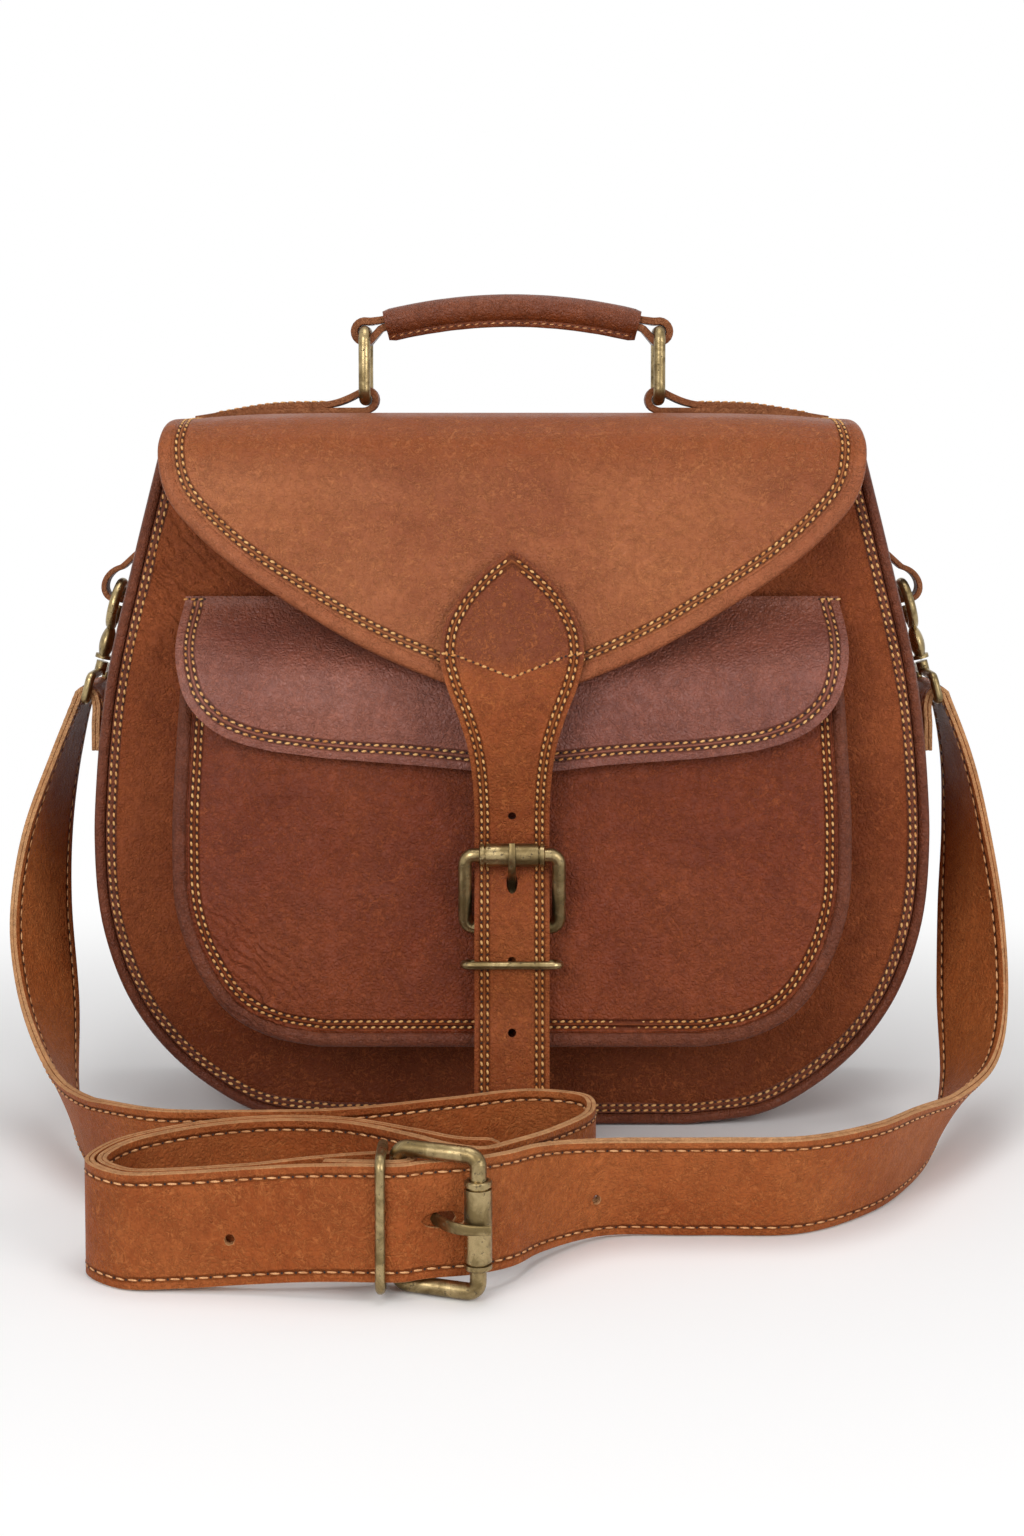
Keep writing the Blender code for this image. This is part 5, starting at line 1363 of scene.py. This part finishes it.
def tab(side, word):
    def top(x):
        return FLAP_TOP - FLAP_DROOP * abs(x / FLAP_HALF) ** 6

    low = LOOP_WALL / 2 - PLY_CONTACT
    high = low + LOOP_WALL + PLY_CONTACT
    reach = [SPAN + TAB_LONG * (1 - i / 16) for i in range(17)]

    def sunk(x):
        """How far the tab has gone into the flap on its way to the tip."""
        return smooth_step(0.45, 1.0, (x - SPAN) / TAB_LONG)

    path = [(p, top(p) + low - LOWER_SINK * sunk(p)) for p in reach]
    path += arc((SPAN, RING_FOOT), LOOP_FOLD + PLY_CONTACT, -90, -270, 16)[1:]
    lifted = [(SPAN + TAB_LONG * along, top(SPAN) + high + LOOP_FOLD * up) for along, up in TAB_RISE]
    level = [(p, top(p) + high - UPPER_SINK * sunk(p)) for p in reversed(reach) if p > lifted[-1][0] + LOOP_FOLD]
    path += curve_through([path[-1]] + lifted + level[:2], 4)[1:] + level[2:]
    profile = Profile(path)

    def half_wide(x):
        taper = max((x - SPAN) / TAB_LONG, 0.0)
        wide = TAB_WIDE * (1 - taper) + TAB_TIP * taper
        swell = min(max((x - SPAN) / LOOP_DEEP, 0.0), 1.0)
        return (LOOP_DEEP + (wide - LOOP_DEEP) * swell) / 2

    half = [(half_wide(p.x), s) for p, s in zip(profile.points, profile.gone)]
    name = "handle_tab_" + word
    cut_sheet(name, half, lay_across(profile, side), 0.0013, LOOP_WALL + 2 * PLY_CONTACT, TAB_HIDE, "flap",
              rounding=FOLD_ROUNDING, edge=RAW_EDGE)

    def stitch_place(x, way):
        up = top(x) + high - UPPER_SINK * sunk(x) + LOOP_WALL / 2 + PLY_CONTACT
        return Vector((side * x, way * (half_wide(x) - TAB_SEAM_INSET), up))

    seam = [SPAN + TAB_SEAM_FROM + TAB_SEAM_STEP * i for i in range(10)]
    rows = [[(stitch_place(x, way), Vector((0, 0, 1))) for x in seam] for way in (-1, 1)]
    sew(name + "_seam", rows, "flap", 0.0032)


def handle_height(x):
    return RING_TOP + HANDLE_END_UP + HANDLE_RISE * (1 - (x / SPAN) ** 2)


def handle():
    ply = (HANDLE_PLY + FIT) / 2
    fold = RING_WIRE / 2 + LOOP_PLAY + HANDLE_PLY / 2
    inside = SLEEVE_HALF - SLEEVE_INSIDE
    core_end = SLEEVE_HALF + SLEEVE_INSIDE / 2
    lap = SLEEVE_HALF * 0.60
    half_path = [(x, handle_height(x) - ply) for x in (lap, (lap + inside) / 2, inside, core_end)]
    half_path += arc((SPAN, RING_TOP), fold, -110, 110, 20)
    half_path += [(x, handle_height(x) + ply) for x in [core_end] + [inside * (1 - i / 12) for i in range(13)]]
    profile = Profile(half_path + [(-x, z) for x, z in reversed(half_path[:-1])])

    def half_wide(x):
        swell = min(max((abs(x) - core_end) / (SPAN - fold - core_end), 0.0), 1.0)
        return (CORE_WIDE + (LOOP_DEEP - CORE_WIDE) * swell) / 2

    half = [(half_wide(p.x), s) for p, s in zip(profile.points, profile.gone)]
    cut_sheet("handle_core", half, lay_across(profile), 0.0013, HANDLE_PLY, SLEEVE_HIDE, "handle",
              rounding=FOLD_ROUNDING, edge=RAW_EDGE)
    along = [SLEEVE_HALF * (2 * i / 40 - 1) for i in range(41)]
    stations = stations_on([(x, 0, handle_height(x)) for x in along], side=(0, 1, 0))
    low = SLEEVE_RADIUS + FIN_LOW
    ring = arc((0, 0), SLEEVE_RADIUS, -72, 252, 26)
    ring += [(-FIN_WIDE / 2, -low + FIN_CORNER), (-FIN_WIDE * 0.3, -low)]
    ring += [(FIN_WIDE * 0.3, -low), (FIN_WIDE / 2, -low + FIN_CORNER)]
    sections = []
    for i in range(41):
        end = abs(i / 20 - 1)
        size = 1.0 - 0.10 * smooth_step(0.94, 1.0, end) + 0.012 * noise.noise(Vector((i * 0.45, 0.0, 0.0)))
        sections.append([(a * size, b * size) for a, b in ring])
    bm = swept(stations, sections)
    creased_at(finished("handle_sleeve", bm, SLEEVE_HIDE, "handle", ["handle_sleeve"]), 60)
    rows = []
    places = [station[0] for station in stations]
    for way in (-1, 1):
        rows.append([(place + Vector((0, way * FIN_WIDE * 0.52, -low + FIN_SEAM_UP)), Vector((0, way, 0)))
                     for place in places[1:-1]])
    sew("sleeve_seam", rows, "handle", 0.0034, GOLD_THREAD, share=0.55, thick=0.00028, sink=0.1)


for side, word in ((-1, "left"), (1, "right")):
    loop = rounded_rectangle(RING_WIDE - RING_WIRE, RING_HIGH - RING_WIRE, RING_CORNER, 8)
    ring_middle = (RING_FOOT + RING_TOP) / 2
    wire("handle_ring_" + word, [(side * SPAN, y, ring_middle + z) for y, z in loop], RING_WIRE / 2,
         word + "_ring", closed=True)
    tab(side, word)
handle()
print("handle")

# %% [markdown]
# ## Side loops and snap hooks
# A folded tab on each side of the bag holds a snap hook. The hook is a round bow that grows out of a flattened,
# egg-shaped barrel. A sprung gate closes the bow, and a flat eye below turns on a post and takes the strap.

# %% Side tabs and hooks
LOOP_HEIGHT = 0.2150
LOOP_STAND_OFF = 0.0105
LOOP_BORE = 0.0057
SIDE_WALL = 0.0022
SIDE_LONG = 0.0200
SIDE_WIDE = 0.0098
HOOK_LEAN = math.radians(14.9)
HOOK_WIRE = 0.0042
HOOK_BOW = 0.0090
HOOK_LONG = 0.0150
HOOK_WIDE = 0.0120
HOOK_THICK = 0.0060
EYE_DROP = 0.0390
EYE_WIRE = 0.0036
EYE_HIGH = 0.0100
EYE_INSIDE = 0.0392
EYE_CORNER = 0.0022
EYE_POST = 0.0024
GATE_FROM = 100.0
GATE_TO = 162.2
CLAW_END = 174.0
GATE_GAP = 11.0
GATE_SHARE = 0.40
BARREL_SWELL = 0.12
BARREL_SLIM = 0.9
COLLAR_FROM = 0.0006
COLLAR_TO = 0.0022
COLLAR_RADIUS = 0.0034
POST_LAP = 0.001


def gusset_side(z):
    return width_at(bag_half, z) * GUSSET_SHRINK + LEATHER / 2


def side_tab(side, word):
    inner = FIT + SIDE_WALL / 2
    outer = inner + SIDE_WALL + FIT
    fold = LOOP_BORE + SIDE_WALL / 2
    top = LOOP_HEIGHT + fold + SIDE_LONG
    start = LOOP_HEIGHT + fold * 2
    path = [(inner, top), (inner, start)] + arc((LOOP_STAND_OFF, LOOP_HEIGHT), fold, 180, 440, 26)
    path += [(outer, start + LOOP_WALL), (outer, top)]
    profile = Profile([(gusset_side(z) + off, z) for off, z in path])
    name = "side_tab_" + word
    half = [(SIDE_WIDE / 2, 0.0), (SIDE_WIDE / 2, profile.long)]
    cut_sheet(name, half, lay_across(profile, side), 0.0012, SIDE_WALL, BODY_HIDE, "bag",
              rounding=FOLD_ROUNDING, edge=RAW_EDGE)


def hook_place(side):
    """Turns a place on an upright hook, with the bow's middle at the origin, to its leaning place."""
    centre = Vector((gusset_side(LOOP_HEIGHT) + LOOP_STAND_OFF, 0, LOOP_HEIGHT))
    centre += Vector((math.sin(HOOK_LEAN), 0, -math.cos(HOOK_LEAN))) * HOOK_BOW

    def place(x, y, z):
        out = centre.x + x * math.cos(HOOK_LEAN) - z * math.sin(HOOK_LEAN)
        up = centre.z + x * math.sin(HOOK_LEAN) + z * math.cos(HOOK_LEAN)
        return Vector((side * out, y, up))

    return place


def bow(angle_deg):
    turn = math.radians(angle_deg)
    return (0, -HOOK_BOW * math.sin(turn), HOOK_BOW * math.cos(turn))


def snap_hook(side, word):
    place = hook_place(side)
    reach = GATE_FROM - GATE_GAP
    claw = [place(*bow(-reach + (reach + CLAW_END) * i / 40)) for i in range(41)]
    body = word + "_hook"
    wire("hook_" + word, claw, HOOK_WIRE / 2, body)
    low = -HOOK_BOW - HOOK_LONG
    bm = bmesh.new()
    bmesh.ops.create_uvsphere(bm, u_segments=28, v_segments=20, radius=1.0)
    for vert in bm.verts:
        x, y, z = vert.co
        fuller = 1.0 + BARREL_SWELL * (1 - z * z)
        up = (low - HOOK_BOW) / 2 + z * HOOK_LONG / 2
        vert.co = place(x * HOOK_THICK / 2 * fuller * BARREL_SLIM, y * HOOK_WIDE / 2 * fuller * BARREL_SLIM, up)
    finished("hook_barrel_" + word, bm, BRASS, body)
    ends = [place(0, 0, low + COLLAR_FROM), place(0, 0, low + COLLAR_TO)]
    collar = swept(stations_on(ends), arc((0, 0), COLLAR_RADIUS, 0, 360, 20)[:-1])
    fitting("hook_collar_" + word, collar, body, stands=False)
    gate = [place(*bow(-(GATE_FROM + (GATE_TO - GATE_FROM) * i / 14))) for i in range(15)]
    wire("hook_gate_" + word, gate, HOOK_WIRE * GATE_SHARE, word + "_gate")
    loop = rounded_rectangle(EYE_INSIDE + EYE_WIRE, EYE_HIGH, EYE_CORNER, 6)
    centre = -EYE_DROP + EYE_HIGH / 2
    wire("hook_eye_" + word, [place(0, y, centre + z) for y, z in loop], EYE_WIRE / 2, "shoulder_strap",
         closed=True)
    ends = [place(0, 0, centre + EYE_HIGH / 2 - POST_LAP), place(0, 0, low - FIT * 2)]
    wire("hook_post_" + word, ends, EYE_POST, "shoulder_strap", stands=False)


for side, word in ((-1, "left"), (1, "right")):
    side_tab(side, word)
    snap_hook(side, word)
print("hooks")

# %% [markdown]
# ## The shoulder strap
# The strap is two plies of lighter saddle leather glued and sewn together, with pale raw edges and a dark line
# between the plies. It hangs from both hooks, turns on its edge on the floor and is buckled in front, where its
# spare length makes a loop. Each ply is its own sheet, so the line between them is real.

# %% Lines of the strap
SHOULDER_WIDE = 0.0380
SHOULDER_THICK = 0.0034
SHOULDER_HOLE = 0.0036
STRAP_HOLE_SHARES = (-0.544, 0.172)
STRAP_REACH = 0.2300
STRAP_STEPS = 3
FRONT_RUN_SHARE = 0.975
PLY_PLAY = 0.0005
FRAME_WIRE = 0.0055
FRAME_TALL = 0.0500
FRAME_APART = 0.0262
FRAME_CORNER = 0.0036
FRAME_SIDE = 0.0370
FRAME_LEAN = 0.0100
STRAP_ROLLER = 0.0045
STRAP_ROLLER_LONG = 0.0290
STRAP_KEEPER = 0.0034
STRAP_KEEPER_TALL = 0.0460
STRAP_PRONG = 0.0040
STRAP_SLOT = 0.0085
PRONG_ROOM = 0.0070
STRAP_PRONG_SHARES = ((0.14, -0.06), (0.28, -0.12), (0.40, -0.06), (0.47, 0.08), (0.54, 0.32), (0.62, 0.57),
                      (0.72, 0.79), (0.85, 0.94), (1.0, 1.0), (1.16, 0.99))
STRAP_LAP = 0.0210
STRAP_TIP = 0.008
STRAP_ROW = 0.0033
ROW_START = 0.004
ROW_STEP = 0.003
FOLD_LAP = 0.0280
OUTER_RUN = ((0.22, 0.02, 1.0), (0.55, 0.22, 0.97), (1.0, 0.62, 0.85))
LEFT_DROP = (
    (1.106, 0.013, 0.968, 0.10, 0.99, 0.0), (1.148, 0.048, 0.741, 0.30, 0.95, 0.05),
    (1.154, 0.091, 0.537, 0.42, 0.90, 0.12), (1.124, 0.157, 0.294, 0.46, 0.79, 0.40),
    (1.064, 0.287, 0.093, 0.20, 0.75, 0.62), (0.920, 0.522, 0.0, 0.0, 0.45, 0.89),
    (0.733, 0.661, 0.0, 0.0, 0.10, 0.995),
)
RIGHT_DROP = (
    (1.103, 0.009, 0.968, 0.10, 0.99, 0.0), (1.127, 0.035, 0.740, 0.30, 0.95, 0.0),
    (1.130, 0.074, 0.525, 0.50, 0.86, 0.0), (1.118, 0.139, 0.311, 0.55, 0.82, 0.10),
    (1.082, 0.252, 0.117, 0.38, 0.82, 0.42), (0.992, 0.400, 0.017, 0.15, 0.70, 0.70),
    (0.889, 0.543, 0.0, 0.0, 0.52, 0.85), (0.757, 0.687, 0.0, 0.0, 0.38, 0.925),
)
RIGHT_FLOOR = ((0.601, 0.770, 0.0, 0.30), (0.391, 0.778, 0.0, 0.30), (0.186, 0.793, 0.15, 0.30),
               (0.052, 0.880, 0.55, 0.12), (-0.012, 0.957, 0.9, 0.0))
LEFT_FLOOR = ((-0.600, 0.6720, 0.0), (-0.360, 0.6600, 0.0), (-0.132, 0.6000, 0.0), (0.060, 0.5545, 0.0),
              (0.156, 0.5830, 0.0), (0.168, 0.6570, 0.0), (0.098, 0.7610, 0.1), (0.006, 0.8480, 0.3),
              (-0.056, 0.8830, 0.3), (-0.120, 0.8600, 0.2), (-0.200, 0.8050, 0.1))
LOOP_SHARES = ((-0.520, 0.9960, 0.5), (-0.640, 0.9890, 0.2), (-0.763, 0.9750, 0.0), (-0.838, 0.9150, 0.0),
               (-0.815, 0.8350, 0.0), (-0.685, 0.7450, 0.0), (-0.500, 0.7000, 0.0), (-0.360, 0.7080, 0.0))
TAIL_SHARES = ((-0.200, 0.7680, 0.0), (-0.095, 0.8120, 0.0), (-0.005, 0.8120, 0.0))
STRAP_LOW = SHOULDER_WIDE / 2
BUCKLE_LIFT = (FRAME_TALL - SHOULDER_WIDE) / 2
FOLD = FRAME_WIRE / 2 + FIT + SHOULDER_THICK / 2
PLY_PITCH = SHOULDER_THICK + PLY_PLAY
TURN_ROOM = 0.0027
BAR_X = -FRAME_SIDE
BAR_Y = -STRAP_REACH * FRONT_RUN_SHARE - FOLD / 2
ROLLER_X = BAR_X + FRAME_APART
ROLLER_Y = BAR_Y - FRAME_LEAN


def standing(x, y, lift, lean=0.0):
    """A place of the strap on its edge on the floor, with the direction to its upper edge."""
    across = Vector((0, -lean, math.sqrt(1 - lean * lean)))
    low = STRAP_LOW * across.z + SHOULDER_THICK / 2 * lean
    return (x, y, low + lift * BUCKLE_LIFT, *across)


def hanging_end(side, shares):
    """From the folded end in the hook's eye, round its bar and down to the floor."""
    bar = hook_place(side)(0, 0, -EYE_DROP)
    fold = EYE_WIRE / 2 + FIT + SHOULDER_THICK / 2
    across = (0.0, -1.0, 0.0)
    lap = bar.z - STRAP_LAP
    stations = [(bar.x - side * fold, 0.0, lap, *across), (bar.x - side * fold, 0.0, (lap + bar.z) / 2, *across)]
    for x, z in arc((0, 0), fold, 180, 0, 4):
        stations.append((bar.x + side * x, 0.0, bar.z + z, *across))
    for x, y, up, ax, ay, az in shares:
        way = Vector((side * ax, -ay, az)).normalized()
        low = STRAP_LOW * way.z + SHOULDER_THICK / 2 * math.sqrt(1 - way.z * way.z)
        stations.append((side * x * BAG_HALF, -y * STRAP_REACH, low + up * (bar.z - STRAP_LOW), *way))
    return stations


def on_floor(shares):
    return [standing(row[0] * BAG_HALF, -row[1] * STRAP_REACH, *row[2:]) for row in shares]


def through_buckle():
    behind_roller = ROLLER_Y + STRAP_ROLLER + 2 * FIT + SHOULDER_THICK / 2 + TURN_ROOM
    return [(ROLLER_X, behind_roller)] + arc((BAR_X, BAR_Y), FOLD + PLY_PITCH, -50, -90, 2)


def up_to_loop():
    outer = BAR_Y - FOLD - PLY_PITCH
    stations = hanging_end(1, RIGHT_DROP) + on_floor(RIGHT_FLOOR)
    stations += [standing(x, y, 1.0) for x, y in through_buckle()]
    return stations + [standing(BAR_X - FOLD_LAP * along, outer + FOLD * out, lift) for along, out, lift in OUTER_RUN]


def buckle_end():
    stations = hanging_end(-1, LEFT_DROP) + on_floor(LEFT_FLOOR)
    before = up_to_loop()
    outside = curve_through(before + on_floor(LOOP_SHARES + TAIL_SHARES), STRAP_STEPS)
    first = len(before) * STRAP_STEPS
    run = outside[first:first + (len(LOOP_SHARES) - 1) * STRAP_STEPS + 1]
    inner = set_in([p[:2] for p in run], -PLY_PITCH)
    stations += [(x, y, *p[2:]) for (x, y), p in zip(inner, run)][::-1]
    stations.append(standing(BAR_X - FOLD_LAP, BAR_Y + FOLD * 0.45, 0.85))
    straight = BAR_X - FOLD * 0.70
    stations.append(standing(straight, BAR_Y + FOLD, 1.0))
    stations += [standing(x, y, 1.0) for x, y in arc((BAR_X, BAR_Y), FOLD, 90, -90, 4)]
    stations.append(standing(straight, BAR_Y - FOLD, 1.0))
    stations.append(standing(BAR_X - FOLD_LAP * 0.85, BAR_Y + FOLD * 0.45 - SHOULDER_THICK - 2 * FIT, 0.92))
    return stations


def ribbon(stations, steps):
    """The strap's line, kept off the floor."""
    found = []
    for x, y, z, ax, ay, az in curve_through(stations, steps):
        way = Vector((ax, ay, az)).normalized()
        low = STRAP_LOW * abs(way.z) + SHOULDER_THICK / 2 * math.sqrt(1 - way.z * way.z)
        found.append((x, y, max(z, low), *way))
    return Ribbon(found)


# %% [markdown]
# ## Cutting the strap
# Each half of the strap is cut as an outer ply and a lining, both laid on the same line, one on each side of
# its middle. The slots are longer in the lining, which leaves room for the root of a prong. Both faces carry
# one row of gold stitches near each edge.

# %% Strap sheets
STRAP_HIDE = leather("strap_hide", STRAP_TAN, STRAP_DEEP, STRAP_BRIGHT, 0.44, 0.50, 0.02, rows=(STRAP_ROW,), shine=0.06)
PALE_EDGE = leather("pale_edge", (0.520, 0.255, 0.110), (0.320, 0.130, 0.050), (0.680, 0.400, 0.200), 0.62, 0.3, 0.0)


def strap(name, line, holes, tip):
    long = line.long
    if tip:
        half = [(STRAP_LOW, 0.0), (STRAP_LOW, long - STRAP_TIP)]
        rounded = arc((0.0, long - STRAP_TIP), STRAP_TIP, 0, 84, 5)[1:]
        half += [(STRAP_LOW - STRAP_TIP + x, s) for x, s in rounded]
    else:
        half = [(STRAP_LOW, 0.0), (STRAP_LOW, long)]
    ply = SHOULDER_THICK / 4
    for word, off in (("", ply), ("_lining", -ply)):
        def lay(x, s, out):
            return line.at(x, s, out + off)

        room = PRONG_ROOM if word else 0.0
        cuts = [(x, s, wide, deep + room if deep > wide else deep) for x, s, wide, deep in holes]
        cut_sheet(name + word, half, lay, 0.0019, ply * 2 - 0.00008, STRAP_HIDE, "shoulder_strap",
                  edge_line=all_round(half), rounding=0.00035, holes=cuts, edge=PALE_EDGE, stands=not word)
    rows = []
    for x in (-STRAP_LOW + STRAP_ROW, STRAP_LOW - STRAP_ROW):
        flat_line = [(x, ROW_START + ROW_STEP * i) for i in range(int((long - 2 * ROW_START) / ROW_STEP))]
        for out in (SHOULDER_THICK / 2, -SHOULDER_THICK / 2):
            rows.append(laid_line(flat_line, line.at, out))
    sew(name + "_seam", rows, "shoulder_strap", 0.0047, GOLD_THREAD, share=0.76, slant=0.06, thick=0.00044, hole=0.09)


def length_near(line, place):
    """The length along a strap's line nearest to a place on the floor."""
    best = min(range(len(line.points)), key=lambda i: (line.points[i].xy - Vector(place)).length)
    return line.gone[best]


holed = ribbon(up_to_loop() + on_floor(LOOP_SHARES + TAIL_SHARES), 9)
near, far = [Vector(p) for p in through_buckle()[:2]]
holes = [(0.0, length_near(holed, near.lerp(far, 0.5)), STRAP_PRONG + 4 * FIT, STRAP_SLOT)]
for share in STRAP_HOLE_SHARES:
    first = next(s for p, s in zip(holed.points, holed.gone)
                 if p.y < -STRAP_REACH / 3 and (p.x <= share * BAG_HALF))
    holes.append((-SHOULDER_WIDE * 0.10, first, SHOULDER_HOLE, SHOULDER_HOLE))
strap("strap_holed_end", holed, holes, True)
buckled = ribbon(buckle_end(), 6)
slot = (0.0, length_near(buckled, (BAR_X + FOLD, BAR_Y)), STRAP_PRONG + 4 * FIT, FOLD * math.pi + 0.005)
strap("strap_buckle_end", buckled, [slot], False)
print("strap", round(holed.long, 3), "and", round(buckled.long, 3), "m long")

# %% [markdown]
# ## The buckle of the shoulder strap
# It is the same sort as the closure buckle, standing upright on the floor. Its bar lies in the fold of one
# half, its prong goes through the slot of the other, and a wire keeper goes round both.

# %% Shoulder buckle
middle = FRAME_TALL / 2
loop = rounded_rectangle(FRAME_APART, FRAME_TALL - FRAME_WIRE, FRAME_CORNER, 8)
frame_line = []
for a, b in loop:
    share = a / FRAME_APART + 0.5
    frame_line.append((BAR_X + share * FRAME_APART, BAR_Y - share * FRAME_LEAN, middle + b))
wire("shoulder_buckle_frame", frame_line, FRAME_WIRE / 2, "strap_frame", closed=True)
ends = [(ROLLER_X, ROLLER_Y, middle + side * STRAP_ROLLER_LONG / 2) for side in (-1, 1)]
roller("shoulder_roller", *ends, STRAP_ROLLER, FRAME_WIRE / 2 + RUNNING_FIT, "strap_roll")
eye = FRAME_WIRE / 2 + RUNNING_FIT + PRONG_THICK / 2
over = STRAP_ROLLER + 3 * FIT + PRONG_THICK / 2
prong_line = arc((BAR_X, BAR_Y), eye, -30, 270, 20)
lift = FRAME_LEAN + over - eye
free = [(BAR_X + along * FRAME_APART, BAR_Y - eye - out * lift) for along, out in STRAP_PRONG_SHARES]
prong_line += curve_through([prong_line[-1]] + free, 3)[1:]
prong("shoulder_prong", [(x, y, middle) for x, y in prong_line], STRAP_PRONG, "strap_tongue", (0, 0, 1))
keeper_x = BAR_X - FRAME_WIRE / 2 - 2 * FIT - STRAP_KEEPER / 2
inner = BAR_Y + FOLD + SHOULDER_THICK / 2 + FIT + STRAP_KEEPER / 2
outer = BAR_Y - FOLD - PLY_PITCH - SHOULDER_THICK / 2 - FIT - STRAP_KEEPER / 2
loop = rounded_rectangle(inner - outer, STRAP_KEEPER_TALL - STRAP_KEEPER, STRAP_KEEPER, 8)
wire("shoulder_keeper", [(keeper_x, (inner + outer) / 2 + a, middle + b) for a, b in loop], STRAP_KEEPER / 2,
     "strap_loop", closed=True)
print("shoulder buckle; stitches so far:", SEAM_COUNT[0])

# %% [markdown]
# ## The studio
# The bag stands on a pale floor in soft light. One broad lamp is high in front and to the left, a weaker one
# fills from the right, the weakest hangs above, and the white surroundings do the rest. Camera and mirror rays
# see plain white, so the background stays white and the brass has something pale to show.

# %% Floor, world and lamps
FLOOR_HALF = 2.5
FLOOR_DROP = 0.0004
FLOOR_TONES = (0.950, 0.935)
WHITE_FROM = 0.27
WHITE_TO = 0.58
AMBIENT = 0.40
LAMP_SIZE = 0.9


def studio_floor():
    bm = bmesh.new()
    bmesh.ops.create_grid(bm, x_segments=8, y_segments=8, size=FLOOR_HALF)
    bmesh.ops.translate(bm, vec=(0, 0, -FLOOR_DROP), verts=bm.verts)
    finish = Finish("floor_paint")
    tone = finish.noise(3.0, 2.0)
    finish.set("Base Color", finish.mixed(tone, *[(t, t, t) for t in FLOOR_TONES]))
    finish.set("Roughness", 0.7 + tone * 0.1)
    sockets = {0: finish.place, 1: (0.0, -0.12, 0.0)}
    away = finish.add("ShaderNodeVectorMath", {"operation": "DISTANCE"}, sockets, "Value")
    kinds = ("Is Camera Ray", "Is Glossy Ray", "Is Transmission Ray")
    seen, mirrored, through = [finish.add("ShaderNodeLightPath", {}, {}, kind) for kind in kinds]
    plain = seen.math("MAXIMUM", mirrored).math("MAXIMUM", through) * away.between(WHITE_FROM, WHITE_TO)
    white = finish.add("ShaderNodeEmission", {}, {"Color": (1.0, 1.0, 1.0), "Strength": 1.0})
    paint = Value(finish, finish.shader.outputs[0])
    both = finish.add("ShaderNodeMixShader", {}, {0: plain, 1: paint, 2: white})
    finish.join(finish.tree.nodes["Material Output"].inputs["Surface"], both)
    mesh = bpy.data.meshes.new("floor")
    bm.to_mesh(mesh)
    bm.free()
    mesh.materials.append(finish.material)
    floor = bpy.data.objects.new("floor", mesh)
    bpy.context.scene.collection.objects.link(floor)


def lamp(name, place, aim, power):
    data = bpy.data.lights.new(name, "AREA")
    data.shape = "DISK"
    data.size = LAMP_SIZE
    data.energy = power
    light = bpy.data.objects.new(name, data)
    light.location = place
    light.rotation_euler = (Vector(aim) - Vector(place)).to_track_quat("-Z", "Y").to_euler()
    bpy.context.scene.collection.objects.link(light)


def surroundings():
    world = bpy.data.worlds.new("studio")
    bpy.context.scene.world = world
    world.use_nodes = True
    tree = world.node_tree
    dim = tree.nodes["Background"]
    white = tree.nodes.new("ShaderNodeBackground")
    for sky, strength in ((dim, AMBIENT), (white, 1.0)):
        sky.inputs["Color"].default_value = (1.0, 1.0, 1.0, 1.0)
        sky.inputs["Strength"].default_value = strength
    rays = tree.nodes.new("ShaderNodeLightPath").outputs
    seen, both = [tree.nodes.new("ShaderNodeMath") for i in range(2)]
    seen.operation = both.operation = "MAXIMUM"
    mix = tree.nodes.new("ShaderNodeMixShader")
    joined = ((rays["Is Camera Ray"], seen.inputs[0]), (rays["Is Glossy Ray"], seen.inputs[1]),
              (seen.outputs[0], both.inputs[0]), (rays["Is Transmission Ray"], both.inputs[1]),
              (both.outputs[0], mix.inputs[0]), (dim.outputs[0], mix.inputs[1]), (white.outputs[0], mix.inputs[2]),
              (mix.outputs[0], tree.nodes["World Output"].inputs["Surface"]))
    for start, end in joined:
        tree.links.new(start, end)


studio_floor()
surroundings()
lamp("key", (-0.62, -1.45, 0.78), (0.0, -0.05, 0.14), 12.0)
lamp("fill", (1.05, -1.20, 0.62), (0.0, -0.05, 0.14), 9.5)
lamp("top", (0.0, -0.15, 1.45), (0.0, -0.05, 0.13), 6.0)
